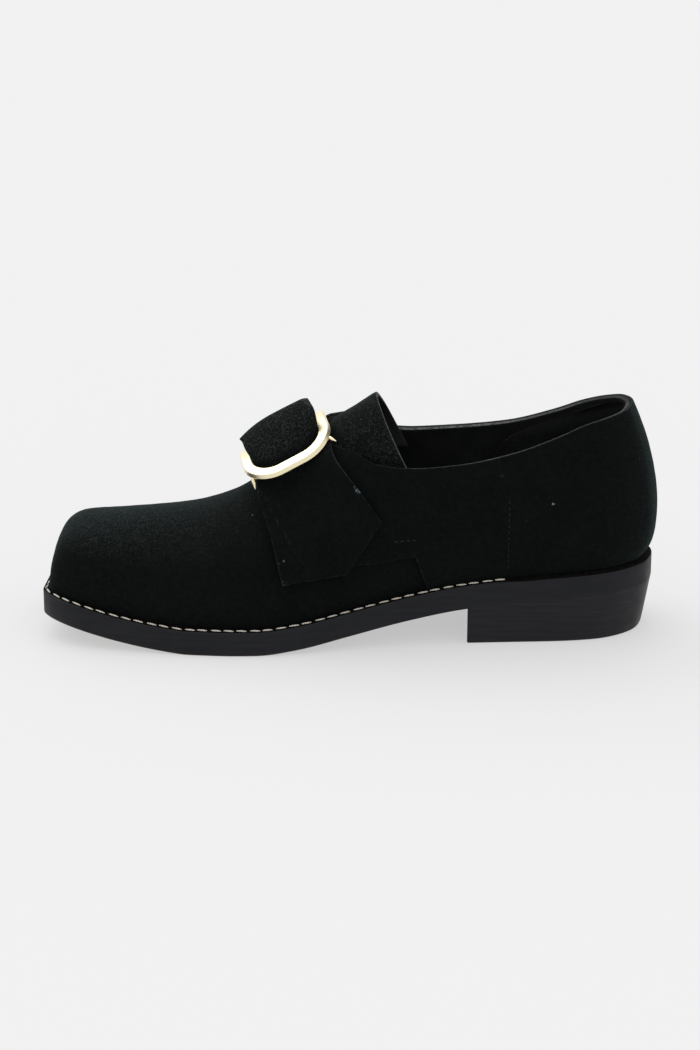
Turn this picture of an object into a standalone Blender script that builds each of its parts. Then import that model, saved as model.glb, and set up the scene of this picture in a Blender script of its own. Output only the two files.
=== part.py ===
"""Left buckle shoe: suede upper with latchets, brass slide buckle, welted leather sole and stacked heel.

The toe points to -X, the outer (lateral) side of the foot faces -Y, and the shoe stands on z = 0.
Sizes and tables are in millimetres. MM turns them into Blender's metres as each piece is placed.
"""

import math
from collections import namedtuple
from functools import lru_cache

import bmesh
import bpy
import numpy as np
from mathutils import Matrix, Vector

MM = 0.001
GAP = 0.3
LATERAL, MEDIAL = -1.0, 1.0

# Driving dimensions of the shoe
WALL = 2.0
QUARTER_THICKNESS = 1.3
STRAP_THICKNESS = 2.6
TONGUE_THICKNESS = 2.2
OUTSOLE_THICKNESS = 8.7
WELT_THICKNESS = 3.0
INSOLE_THICKNESS = 3.0
WELT_MARGIN = 4.3
WELT_TUCK = 6.0
HEEL_BREAST_X = 56.5
HEEL_BREAST_CURVE = 3.0
HEEL_TAPER_SIDE = 1.2
HEEL_TAPER_BACK = 4.4
TOP_PIECE_THICKNESS = 5.5
HEEL_LIFTS = 3

# The toe: its front is rounded off over this depth, and bowed a little when seen from above
TOE_FRONT_X = -144.3
TOE_DEPTH = 21.0
TOE_PROFILE_POWER = 3.4
TOE_CORNER = 9.5
TOE_CORNER_POWER = 2.1
TOE_BOW = 0.4
TOE_SKEW = 1.6
TOE_MARGIN = 2.2

# The heel end of the upper: half ellipses at the feather line and at the collar
HEEL_CENTRE_X = 100.0
HEEL_BASE_LENGTH = 43.9
HEEL_TOP_LENGTH = 35.8
HEEL_POWER = 2.2
HEEL_TURNS = (22.5, 45.0, 67.5, 90.0, 112.5)

# Underside of the outsole along the foot: toe spring, forefoot flat, waist and heel seat
SOLE_PROFILE = (
    # x, height of the underside
    (-152.0, 12.2),
    (-134.0, 9.3),
    (-112.0, 4.7),
    (-92.0, 1.5),
    (-76.0, 0.0),
    (-46.0, 0.0),
    (-26.0, 2.0),
    (0.0, 7.2),
    (28.0, 13.2),
    (54.0, 17.8),
    (100.0, 22.6),
    (150.0, 25.6),
)

# Sections of the upper from toe to heel. Each half section is one cubic from the feather line to the top:
# it leaves the feather line upwards by rise, leaning out by flare, and meets the top from reach out and drop down.
# The top is the ridge of the vamp where top_y is 0, and the collar behind it.
Section = namedtuple(
    "Section", "x lateral medial top_x top_y top_z top_z_medial rise flare reach drop turn"
)
SIDE_SECTIONS = (
    Section(-146.0, 30.0, 30.5, -146.0, 0.0, 52.0, 52.0, 21.0, 0.5, 22.0, 0.0, 0.0),
    Section(-125.0, 37.2, 37.8, -125.0, 0.0, 54.6, 54.6, 23.5, 1.0, 24.5, 0.0, 0.0),
    Section(-100.0, 43.0, 44.6, -100.0, 0.0, 56.6, 56.6, 24.0, 1.5, 26.0, 0.0, 0.0),
    Section(-76.0, 47.0, 48.7, -76.0, 0.0, 59.2, 59.2, 25.0, 2.0, 27.0, 0.0, 0.0),
    Section(-55.0, 48.7, 48.0, -55.5, 0.0, 66.0, 66.0, 28.0, 2.0, 27.0, 0.0, 0.0),
    Section(-40.0, 48.2, 45.6, -41.0, 0.0, 76.0, 76.0, 32.0, 2.0, 22.0, 0.5, 0.0),
    Section(-29.0, 46.7, 43.0, -31.0, 0.0, 83.0, 83.0, 34.0, 2.0, 18.0, 1.5, 0.0),
    Section(-20.0, 45.0, 40.9, -21.0, 8.0, 88.6, 89.0, 34.0, 2.0, 14.0, 6.0, 0.0),
    Section(-9.0, 42.6, 38.6, -9.0, 17.0, 94.6, 99.2, 32.0, 2.0, 11.0, 10.0, 0.0),
    Section(2.0, 40.2, 36.4, 1.0, 24.0, 93.2, 98.8, 28.0, 2.2, 10.5, 14.0, 0.0),
    Section(14.0, 37.8, 34.4, 13.0, 28.5, 88.2, 92.0, 24.0, 2.4, 8.0, 18.0, 0.0),
    Section(30.0, 35.2, 32.4, 30.0, 30.4, 87.0, 89.4, 21.0, 2.6, 6.0, 20.0, 0.0),
    Section(54.0, 32.6, 31.2, 54.0, 30.8, 89.2, 90.4, 19.0, 3.0, 5.0, 19.0, 0.0),
    Section(78.0, 31.4, 31.2, 78.0, 29.8, 94.4, 93.0, 18.0, 3.4, 4.6, 19.0, 0.0),
    Section(100.0, 30.8, 30.8, 99.0, 27.6, 101.8, 98.6, 17.0, 3.8, 5.0, 20.0, 0.0),
)
# The back of the heel, where the half ellipses end: height of the collar there and the swell of the counter
BACK_TOP_Z = 111.8
BACK_CLIMB_POWER = 0.5
BACK_CLIMB_POWER_MEDIAL = 0.9
BACK_RISE = 16.0
BACK_FLARE = 9.4
BACK_REACH = 11.5
BACK_DROP = 24.0
# The quarter laid over each side of the upper, as rows of the upper's sections and shares of their height.
# In front of QUARTER_FRONT_X only the latchet goes on, above its lower edge and under its upper one.
QUARTER_FRONT_X = 31.0
QUARTER_FRONT_SLANT = 6.4
QUARTER_FOOT = 0.03
QUARTER_GAP = 0.4
LATCHET_EDGES = (
    # row, share at the lower edge, share at the upper edge
    (5.2, 0.24, 0.84),
    (6.0, 0.24, 0.86),
    (7.0, 0.24, 0.87),
    (8.0, 0.245, 0.95),
    (9.0, 0.26, 1.0),
    (11.04, 0.31, 1.0),
    (18.0, 0.34, 1.0),
)
LATCHET_FRONT = (
    # share, row of its front edge, just behind the edge of the strap
    (0.2, 5.86),
    (0.5, 5.28),
    (0.78, 5.0),
    (1.0, 5.0),
)

# The tongue from its sewn end under the vamp to its free end: an arch with its crown at (x, z),
# whose sides reach half out, drop down on each side and lie further back than the crown by lean
TongueRow = namedtuple("TongueRow", "x z half drop_lateral drop_medial lean")
TONGUE = (
    TongueRow(-46.0, 66.0, 12.0, 5.0, 5.0, 0.0),
    TongueRow(-31.0, 76.4, 14.5, 8.0, 8.0, 1.0),
    TongueRow(-20.0, 86.0, 17.0, 16.5, 16.0, 2.0),
    TongueRow(-8.0, 102.2, 20.0, 31.0, 24.0, 4.0),
    TongueRow(3.5, 110.0, 23.0, 28.0, 26.5, 9.0),
    TongueRow(12.5, 116.2, 25.0, 30.0, 30.0, 14.0),
)
TONGUE_WRAP = 13.0

# The buckle: its frame lies in a slope up the instep, turned a little in plan, and is arched across the foot
BUCKLE_CENTRE = (-32.3, -2.0, 93.1)
BUCKLE_SLOPE = 27.2
BUCKLE_TURN = 6.7
BUCKLE_HALF_LENGTH = 20.3
BUCKLE_HALF_SPAN = 25.0
BUCKLE_CORNER = 14.3
BUCKLE_ARCH_RADIUS = 60.0
BUCKLE_BAR_WIDTH = 5.4
BUCKLE_BAR_THICKNESS = 2.8
BUCKLE_BAR_CHAMFER = 1.0
# Two tapered legs under the frame's outer corners, root and tip in the buckle's own slope
LEG_RADII = (1.1, 0.45)
LEGS = {
    "buckle_leg_front": ((-20.2, -17.3, -5.4), (-21.4, -20.6, -9.5)),
    "buckle_leg_rear": ((22.0, -18.4, -4.9), (24.4, -21.4, -4.8)),
}

# The strap where it stands up through the buckle, in the buckle's own slope, from the lateral to the medial side.
# Its outer face runs through a front edge, a middle and a rear edge: along the slope, across the foot, height.
HumpRow = namedtuple(
    "HumpRow",
    "front_along front_across front_height middle_across middle_height rear_along rear_across rear_height bend",
)
HUMP = (
    HumpRow(-20.3, -17.5, -7.9, -23.8, -7.2, 20.4, -19.2, -4.8, 1.5),
    HumpRow(-17.2, -12.6, -4.9, -20.0, -5.9, 16.9, -13.6, -4.0, 2.5),
    HumpRow(-17.1, -9.6, 0.7, -17.2, -0.7, 17.1, -9.8, 0.5, 3.0),
    HumpRow(-17.5, -4.5, 5.7, -12.5, 5.7, 19.2, -7.2, 8.3, 3.0),
    HumpRow(-18.2, 0.5, 8.0, -6.0, 10.9, 20.2, -3.0, 11.4, 2.5),
    HumpRow(-18.9, 4.5, 9.1, 1.0, 13.4, 19.8, 1.5, 13.1, 2.0),
    HumpRow(-18.0, 7.6, 7.6, 7.5, 11.0, 19.0, 5.5, 11.4, 2.5),
    HumpRow(-16.8, 9.4, 5.3, 12.5, 5.7, 17.6, 8.6, 8.0, 3.0),
    HumpRow(-16.8, 10.4, 0.7, 17.2, -0.7, 16.6, 10.2, 0.5, 3.0),
    HumpRow(-17.2, 13.6, -4.6, 20.0, -5.9, 15.6, 13.6, -4.0, 2.5),
    HumpRow(-18.8, 17.5, -8.6, 23.6, -7.2, 15.6, 18.6, -5.3, 1.5),
)
# The parts of the strap that lie on the quarters: front and rear edge, as x and height on the upper,
# and how far the inner face stands off it, from the hump down
StrapRow = namedtuple("StrapRow", "front_x front_z rear_x rear_z lift")
STRAP_LATERAL = (
    StrapRow(-41.4, 64.6, -4.4, 88.0, 3.8),
    StrapRow(-39.5, 60.0, 5.0, 76.0, 2.6),
    StrapRow(-36.6, 50.6, 14.9, 62.4, 2.3),
    StrapRow(-32.4, 33.2, -1.9, 38.4, 2.2),
)
STRAP_MEDIAL = (
    StrapRow(-46.0, 64.0, -12.0, 82.0, 5.0),
    StrapRow(-43.0, 56.0, -5.0, 70.0, 2.6),
    StrapRow(-40.0, 49.0, -1.0, 58.0, 2.4),
    StrapRow(-37.0, 42.0, 1.0, 47.0, 2.3),
)


def monotone_cubic(xs, ys, x):
    """The value at x of the smooth curve through the rows (xs, ys), which never overshoots a row."""
    xs, ys = np.asarray(xs, float), np.asarray(ys, float)
    step = np.diff(xs)
    secant = np.diff(ys) / step
    slope = np.zeros_like(ys)
    slope[0], slope[-1] = secant[0], secant[-1]
    for i in range(1, len(xs) - 1):
        if secant[i - 1] * secant[i] > 0:
            before, after = 2 * step[i] + step[i - 1], step[i] + 2 * step[i - 1]
            slope[i] = (before + after) / (before / secant[i - 1] + after / secant[i])
    x = float(np.clip(x, xs[0], xs[-1]))
    i = int(np.clip(np.searchsorted(xs, x) - 1, 0, len(xs) - 2))
    t = (x - xs[i]) / step[i]
    ends = (2 * t**3 - 3 * t**2 + 1) * ys[i] + (3 * t**2 - 2 * t**3) * ys[i + 1]
    bend = (t**3 - 2 * t**2 + t) * slope[i] + (t**3 - t**2) * slope[i + 1]
    return float(ends + step[i] * bend)


def sole_underside(x):
    return monotone_cubic(*zip(*SOLE_PROFILE), x)


def welt_underside(x):
    return sole_underside(x) + OUTSOLE_THICKNESS + GAP


def feather_height(x):
    """Height of the upper's lower edge, a gap above the welt."""
    return welt_underside(x) + WELT_THICKNESS + GAP


def heel_section(turn):
    """A section of the heel end, whose plane has turned away from straight across by this many degrees."""
    side = SIDE_SECTIONS[-1]
    a = math.radians(turn)
    along = math.sin(a) ** (2 / HEEL_POWER)
    across = math.copysign(abs(math.cos(a)) ** (2 / HEEL_POWER), math.cos(a))
    share = math.sin(a) ** 2
    climb = math.sin(a) ** BACK_CLIMB_POWER
    climb_medial = math.sin(a) ** BACK_CLIMB_POWER_MEDIAL

    def ease(start, end):
        return start + (end - start) * share

    return Section(
        HEEL_CENTRE_X + HEEL_BASE_LENGTH * along,
        side.lateral * across,
        side.medial * across,
        side.top_x + HEEL_TOP_LENGTH * along,
        side.top_y * across,
        side.top_z + (BACK_TOP_Z - side.top_z) * climb,
        side.top_z_medial + (BACK_TOP_Z - side.top_z_medial) * climb_medial,
        ease(side.rise, BACK_RISE),
        ease(side.flare, BACK_FLARE),
        ease(side.reach, BACK_REACH),
        ease(side.drop, BACK_DROP),
        turn,
    )


SECTIONS = SIDE_SECTIONS + tuple(heel_section(turn) for turn in HEEL_TURNS)
BACK_ROW = len(SECTIONS) - 2


@lru_cache(maxsize=None)
def section_at(row):
    """The section at a fractional row of the table."""
    rows = range(len(SECTIONS))
    return Section(*(monotone_cubic(rows, column, row) for column in zip(*SECTIONS)))


def row_at_x(x):
    """The fractional row whose feather line is at x, along the sides."""
    rows = np.linspace(0, len(SIDE_SECTIONS) - 1, 600)
    return float(np.interp(x, [section_at(float(r)).x for r in rows], rows))


def toe_rounding(x):
    """How far x is into the rounded front of the toe, from 0 to 1, and the share of the full height there."""
    into = min(1.0, max(0.0, (TOE_FRONT_X + TOE_DEPTH - x) / TOE_DEPTH))
    return into, (1 - into**TOE_PROFILE_POWER) ** (1 / TOE_PROFILE_POWER)


@lru_cache(maxsize=None)
def half_section(row, side):
    """The four control points of the half section at a row, on the lateral or the medial side."""
    s = section_at(row)
    into, height = toe_rounding(s.x)
    corner = TOE_CORNER * (1 - (1 - into**TOE_CORNER_POWER) ** (1 / TOE_CORNER_POWER))
    half = (s.lateral if side == LATERAL else s.medial) - corner
    top_z = s.top_z if side == LATERAL else s.top_z_medial
    turn = math.radians(s.turn)
    out = np.array([math.sin(turn), side * math.cos(turn), 0.0])
    up = np.array([0.0, 0.0, 1.0])
    base = np.array([s.x, side * half, feather_height(s.x)])
    top = np.array([s.top_x, side * s.top_y, base[2] + (top_z - base[2]) * height])
    reach = s.reach * half / (half + corner) if into else s.reach
    points = np.array(
        [
            base,
            base + out * s.flare * height + up * s.rise * height,
            top + out * reach - up * s.drop,
            top,
        ]
    )
    across = 1 - (points[:, 1] / max(half, 1.0)) ** 2
    points[:, 0] -= TOE_BOW * into**2 * np.clip(across, 0.0, 1.0)
    points[:, 0] += TOE_SKEW * into**2 * points[:, 1] / max(half, 1.0)
    return points


def upper_point(row, share, side):
    """A point of the upper's outer face: share runs from 0 at the feather line to 1 at the ridge or the collar."""
    a, b, c, d = half_section(round(row, 6), side)
    u = 1 - share
    return u**3 * a + 3 * u * u * share * b + 3 * u * share * share * c + share**3 * d


def upper_normal(row, share, side):
    """The outward direction of the upper's outer face."""
    row_step, share_step = 0.02, 0.01
    low, high = max(0.0, share - share_step), min(1.0, share + share_step)
    first, last = max(0.0, row - row_step), min(float(BACK_ROW) + 0.5, row + row_step)
    along = upper_point(last, share, side) - upper_point(first, share, side)
    around = upper_point(row, high, side) - upper_point(row, low, side)
    normal = np.cross(along, around) * -side
    return normal / np.linalg.norm(normal)


def toe_rows():
    """Rows over the rounded front of the toe, close together where it curves most."""
    angles = np.radians((0, 10, 20, 30, 42, 56, 72))
    depths = TOE_DEPTH * np.cos(angles) ** (2 / TOE_PROFILE_POWER)
    return [row_at_x(TOE_FRONT_X + TOE_DEPTH - depth) for depth in depths]


SIDE_STEPS = (1, 2, 2, 2, 1, 1, 1, 1, 1, 1, 1, 2, 2, 2, 2, 2, 2)


def upper_rows():
    """Rows of the upper's mesh from the toe to the back seam."""
    rows = toe_rows()
    for row, steps in enumerate(SIDE_STEPS, start=1):
        rows += [row + step / steps for step in range(steps)]
    return rows + [float(BACK_ROW)]


ROWS = upper_rows()
SHARES = tuple(np.linspace(0.0, 1.0, 11))
FRONT_SHARES = SHARES[::2]


def feather_loop(margin):
    """The feather line seen from above, moved out by margin: front left to right is last, heel in the middle."""
    lateral = [upper_point(row, 0.0, LATERAL) for row in ROWS]
    medial = [upper_point(row, 0.0, MEDIAL) for row in reversed(ROWS[:-1])]
    front = [upper_point(ROWS[0], share, MEDIAL) for share in FRONT_SHARES[1:]]
    front += [upper_point(ROWS[0], share, LATERAL) for share in reversed(FRONT_SHARES[1:-1])]
    loop = np.array(lateral + medial + front)[:, :2]
    tangent = np.roll(loop, -1, 0) - np.roll(loop, 1, 0)
    normal = np.stack([-tangent[:, 1], tangent[:, 0]], 1)
    normal /= np.linalg.norm(normal, axis=1)[:, None]
    if margin > 0:
        into = np.array([toe_rounding(x)[0] for x in loop[:, 0]])
        margin = (margin + (TOE_MARGIN - WELT_MARGIN) * into**2)[:, None]
    return loop - normal * margin


def new_object(name, bm, material):
    """A named object of the shoe from a bmesh."""
    mesh = bpy.data.meshes.new(name)
    bm.to_mesh(mesh)
    bm.free()
    mesh.materials.append(material)
    mesh.shade_smooth()
    mesh.set_sharp_from_angle(angle=math.radians(40))
    obj = bpy.data.objects.new(name, mesh)
    bpy.data.collections["buckle_shoe"].objects.link(obj)
    return obj


def placed_grid(along, across, place, keep=None):
    """A grid whose corners are moved to place(i, j), in millimetres. keep(i, j) says which cells stay."""
    bm = bmesh.new()
    bmesh.ops.create_grid(bm, x_segments=along, y_segments=across, size=1.0)

    def index(co):
        return (co.x + 1) / 2 * along, (co.y + 1) / 2 * across

    if keep:
        cells = [f for f in bm.faces if not keep(*(int(n) for n in index(f.calc_center_median())))]
        bmesh.ops.delete(bm, geom=cells, context="FACES")
    for v in bm.verts:
        i, j = index(v.co)
        v.co = Vector(place(round(i), round(j))) * MM
    bmesh.ops.remove_doubles(bm, verts=bm.verts, dist=1e-6)
    return bm


def placed_solid(along, across, low, high):
    """A solid between two sheets on one grid: low(i, j) places its underside and high(i, j) its top."""
    bm = bmesh.new()
    bmesh.ops.create_grid(bm, x_segments=along, y_segments=across, size=1.0)
    column, line = bm.verts.layers.int.new("column"), bm.verts.layers.int.new("line")
    for v in bm.verts:
        v[column] = round((v.co.x + 1) / 2 * along)
        v[line] = round((v.co.y + 1) / 2 * across)
        v.co = Vector(low(v[column], v[line])) * MM
    bmesh.ops.remove_doubles(bm, verts=bm.verts, dist=1e-6)
    made = bmesh.ops.extrude_face_region(bm, geom=bm.faces[:])
    for v in made["geom"]:
        if isinstance(v, bmesh.types.BMVert):
            v.co = Vector(high(v[column], v[line])) * MM
    bmesh.ops.recalc_face_normals(bm, faces=bm.faces)
    return bm


def wall(obj, thickness, offset):
    """Gives a sheet its thickness: offset -1 grows it inwards and 1 outwards."""
    solidify = obj.modifiers.new("wall", "SOLIDIFY")
    solidify.thickness = thickness * MM
    solidify.offset = offset
    solidify.use_even_offset = True
    solidify.thickness_clamp = 0.0


def finish(name, colour, roughness, metallic=0.0):
    material = bpy.data.materials.new(name)
    material.use_nodes = True
    shader = material.node_tree.nodes["Principled BSDF"]
    shader.inputs["Base Color"].default_value = (*colour, 1.0)
    shader.inputs["Roughness"].default_value = roughness
    shader.inputs["Metallic"].default_value = metallic
    return material


def sole_layer(name, margin, underside, thickness, material):
    """A full-length layer of the sole between the two sides of the feather loop, following its profile."""
    loop = feather_loop(margin)
    last = len(ROWS) - 1
    front = np.vstack([loop[:1], loop[: 2 * last - 1 : -1]])
    across = len(front) - 1

    def plan(i, j):
        if i == 0:
            return front[j]
        return loop[i] + (loop[2 * last - i] - loop[i]) * j / across

    def low(i, j):
        x, y = plan(i, j)
        return x, y, underside(x)

    def high(i, j):
        x, y = plan(i, j)
        return x, y, underside(x) + thickness

    return new_object(name, placed_solid(last, across, low, high), material)


def welt(material):
    """The strip between upper and outsole, all the way round, which carries the stitched ledge."""
    outer, inner = feather_loop(WELT_MARGIN), feather_loop(-WELT_TUCK)
    count = len(outer)

    def low(i, j):
        x, y = (outer, inner)[j][i % count]
        return x, y, welt_underside(x)

    def high(i, j):
        x, y, z = low(i, j)
        return x, y, z + WELT_THICKNESS

    return new_object("welt", placed_solid(count, 1, low, high), material)


def heel_level(share, x):
    """Height in the heel: 0 is the top of the top piece and 1 the outsole."""
    return TOP_PIECE_THICKNESS + (sole_underside(x) - TOP_PIECE_THICKNESS) * share


def heel_layer(name, low_level, high_level, material):
    """One layer of the heel, behind the breast, whose sides taper in towards the floor."""
    last = len(ROWS) - 1
    across = 6

    def taper(x, share):
        """How far the side stands in from the welt's edge, this share of the way down to the floor."""
        back = min(1.0, max(0.0, (x - HEEL_BREAST_X) / (HEEL_CENTRE_X + HEEL_BASE_LENGTH - HEEL_BREAST_X)))
        return share * (HEEL_TAPER_SIDE + (HEEL_TAPER_BACK - HEEL_TAPER_SIDE) * back**2)

    @lru_cache(maxsize=None)
    def outline(share):
        edge, step_in = feather_loop(WELT_MARGIN), feather_loop(WELT_MARGIN - 1.0)
        down = np.array([taper(x, share) for x in edge[:, 0]])[:, None]
        loop = edge + (step_in - edge) * down
        pairs = [(loop[i], loop[2 * last - i]) for i in range(last + 1)]
        behind = [pair for pair, spot in zip(pairs, edge) if spot[0] > HEEL_BREAST_X + 4.0]
        lateral = np.interp(HEEL_BREAST_X, loop[:last, 0], loop[:last, 1])
        medial = np.interp(HEEL_BREAST_X, loop[: last : -1][:last, 0], loop[: last : -1][:last, 1])
        breast = (np.array([HEEL_BREAST_X, lateral]), np.array([HEEL_BREAST_X, medial]))
        return [breast] + behind

    def place(level, i, j):
        share = 1 - level(HEEL_CENTRE_X) / sole_underside(HEEL_CENTRE_X)
        a, b = outline(share)[i]
        x, y = a + (b - a) * j / across
        x += HEEL_BREAST_CURVE * (1 - (2 * j / across - 1) ** 2) if i == 0 else 0
        return x, y, level(x)

    along = len(outline(0.0)) - 1
    bm = placed_solid(
        along, across, lambda i, j: place(low_level, i, j), lambda i, j: place(high_level, i, j)
    )
    return new_object(name, bm, material)


def heel(material):
    """The top piece that stands on the floor and the stacked lifts above it."""
    heel_layer("heel_top_piece", lambda x: 0.0, lambda x: TOP_PIECE_THICKNESS, material)
    for n in range(HEEL_LIFTS):
        low, high = n / HEEL_LIFTS, (n + 1) / HEEL_LIFTS
        heel_layer(
            f"heel_lift_{n + 1}",
            lambda x: heel_level(low, x) + GAP,
            lambda x: heel_level(high, x) - (GAP if high == 1 else 0),
            material,
        )


def upper(material):
    """Vamp and lining in one wall, from the feather line over the foot, open at the collar and underneath."""
    last = len(SHARES) - 1

    def place(i, j):
        if j <= last:
            return upper_point(ROWS[i], SHARES[j], LATERAL)
        return upper_point(ROWS[i], SHARES[2 * last - j + 1], MEDIAL)

    def keep(i, j):
        return j != last

    bm = placed_grid(len(ROWS) - 1, 2 * last + 1, place, keep)
    obj = new_object("upper", bm, material)
    wall(obj, WALL, -1.0)
    return obj


def quarter(name, side, material):
    """The quarter laid over one side of the upper, with the latchet that runs forward under the strap."""
    edge_rows, low_edge, high_edge = zip(*LATCHET_EDGES)
    front_row = row_at_x(QUARTER_FRONT_X)
    latchet_rows = [row for row in ROWS if LATCHET_FRONT[0][1] < row < front_row - 0.2]
    behind_rows = [row for row in ROWS if row > front_row + 0.35]
    behind_rows[-1] -= 0.01
    latchet = len(latchet_rows) + 1
    low_line, last_line = 3, len(SHARES) - 1

    def row_at(i, j):
        if i == 0:
            return monotone_cubic(*zip(*LATCHET_FRONT), SHARES[j])
        if i < latchet:
            return latchet_rows[i - 1]
        if i == latchet:
            return row_at_x(QUARTER_FRONT_X + QUARTER_FRONT_SLANT * max(0.0, 1 - j / low_line))
        return behind_rows[i - latchet - 1]

    def place(i, j):
        row = row_at(i, j)
        share = max(SHARES[j], QUARTER_FOOT)
        if i <= latchet and j >= low_line:
            low = monotone_cubic(edge_rows, low_edge, row)
            high = monotone_cubic(edge_rows, high_edge, row)
            share = low if j == low_line else min(share, high - 0.03 * (last_line - j))
        return upper_point(row, share, side) + upper_normal(row, share, side) * QUARTER_GAP

    def keep(i, j):
        return i >= latchet or j >= low_line

    bm = placed_grid(latchet + len(behind_rows), last_line, place, keep)
    if side == MEDIAL:
        bmesh.ops.reverse_faces(bm, faces=bm.faces)
    obj = new_object(name, bm, material)
    wall(obj, QUARTER_THICKNESS, 1.0)
    return obj


def tongue(material):
    """The tongue, an arched sheet from under the vamp to its free end above the instep."""
    along, across = 10, 12
    stations = range(len(TONGUE))

    def place(i, j):
        row = TongueRow(*(monotone_cubic(stations, c, (len(TONGUE) - 1) * i / along) for c in zip(*TONGUE)))
        a = math.radians((85 + TONGUE_WRAP * i / along) * (2 * j / across - 1))
        fall = 1 - math.cos(a)
        drop = row.drop_lateral if a < 0 else row.drop_medial
        return row.x + row.lean * fall, row.half * math.sin(a), row.z - drop * fall

    obj = new_object("tongue", placed_grid(along, across, place), material)
    wall(obj, TONGUE_THICKNESS, -1.0)
    return obj


def on_slope(along, across, height):
    """A point in the buckle's own slope: along it towards the heel, across the foot and out from it."""
    slope, turn = math.radians(BUCKLE_SLOPE), math.radians(BUCKLE_TURN)
    axis = np.array([math.cos(slope) * math.cos(turn), math.cos(slope) * math.sin(turn), math.sin(slope)])
    side = np.array([-math.sin(turn), math.cos(turn), 0.0])
    return np.array(BUCKLE_CENTRE) + along * axis + across * side + height * np.cross(axis, side)


def side_point(x, z, side, lift):
    """The point at x and height z on one side of the upper, moved out by lift."""
    row = row_at_x(x)
    for _ in range(4):
        low, high = 0.0, 1.0
        for _ in range(24):
            share = (low + high) / 2
            if upper_point(row, share, side)[2] < z:
                low = share
            else:
                high = share
        row = row_at_x(x - (upper_point(row, share, side)[0] - section_at(round(row, 6)).x))
    return upper_point(row, share, side) + upper_normal(row, share, side) * lift


def strap_lines(across):
    """The strap's outer face as lines from above its cut end to its medial end, one for each step across."""
    lines = []
    for j in range(across + 1):
        w = j / across

        def lying(row, side):
            x = row.front_x + (row.rear_x - row.front_x) * w
            z = row.front_z + (row.rear_z - row.front_z) * w
            return side_point(x, z, side, row.lift + STRAP_THICKNESS)

        def hump(row):
            along = row.front_along + (row.rear_along - row.front_along) * w
            edge = (row.front_across, row.front_height) if w < 0.5 else (row.rear_across, row.rear_height)
            to_edge = abs(2 * w - 1) ** row.bend
            across = row.middle_across + (edge[0] - row.middle_across) * to_edge
            height = row.middle_height + (edge[1] - row.middle_height) * to_edge
            return on_slope(along, across, height)

        line = [lying(row, LATERAL) for row in reversed(STRAP_LATERAL[:-1])]
        line += [hump(row) for row in HUMP]
        line += [lying(row, MEDIAL) for row in STRAP_MEDIAL]
        lines.append(np.array(line))
    return lines


def smooth_line(points, position):
    """A point at a fractional row of a line of points, on a smooth curve through them."""
    i = int(min(max(math.floor(position), 0), len(points) - 2))
    t = position - i
    a, b = points[i], points[i + 1]
    before = points[i - 1] if i else 2 * a - b
    after = points[i + 2] if i + 2 < len(points) else 2 * b - a
    leave, arrive = (b - before) / 2, (after - a) / 2
    ends = (2 * t**3 - 3 * t**2 + 1) * a + (3 * t**2 - 2 * t**3) * b
    return ends + (t**3 - 2 * t**2 + t) * leave + (t**3 - t**2) * arrive


def strap(material):
    """The strap that comes over the instep, through the buckle and down to its cut end on the outer side."""
    across = 6
    lines = strap_lines(across)
    count = len(lines[0])
    cut = 3
    positions = [n / 2 for n in range(2 * (count - 1) + 1)]

    def place(i, j):
        if i >= cut:
            return smooth_line(lines[j], positions[i - cut])
        w, up = j / across, i / cut
        low, high = STRAP_LATERAL[-1], STRAP_LATERAL[-2]
        front_x, front_z, rear_x, rear_z, lift = (a + (b - a) * up for a, b in zip(low, high))
        x, z = front_x + (rear_x - front_x) * w, front_z + (rear_z - front_z) * w
        return side_point(x, z, LATERAL, lift + STRAP_THICKNESS)

    bm = placed_grid(cut + len(positions) - 1, across, place)
    bmesh.ops.reverse_faces(bm, faces=bm.faces)
    obj = new_object("latchet_strap", bm, material)
    wall(obj, STRAP_THICKNESS, -1.0)
    return obj


def frame_path(turn, half_length, half_span, corner):
    """A rounded rectangle in the buckle's slope: turn runs from 0 to 1 round it. Gives along and across."""
    arc = corner * math.pi / 2
    straight_a, straight_b = 2 * (half_length - corner), 2 * (half_span - corner)
    s = (turn % 1.0) * (2 * straight_a + 2 * straight_b + 4 * arc)
    corners = ((1, -1, 270), (1, 1, 0), (-1, 1, 90), (-1, -1, 180))
    for n, (sign_a, sign_b, start) in enumerate(corners):
        centre = np.array([sign_a * (half_length - corner), sign_b * (half_span - corner)])
        if s <= arc:
            angle = math.radians(start + 90 * s / arc)
            return centre + corner * np.array([math.cos(angle), math.sin(angle)])
        s -= arc
        length = straight_a if n % 2 else straight_b
        angle = math.radians(start + 90)
        if s <= length:
            direction = np.array([-math.sin(angle), math.cos(angle)])
            return centre + corner * np.array([math.cos(angle), math.sin(angle)]) + direction * s
        s -= length
    return centre


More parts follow.
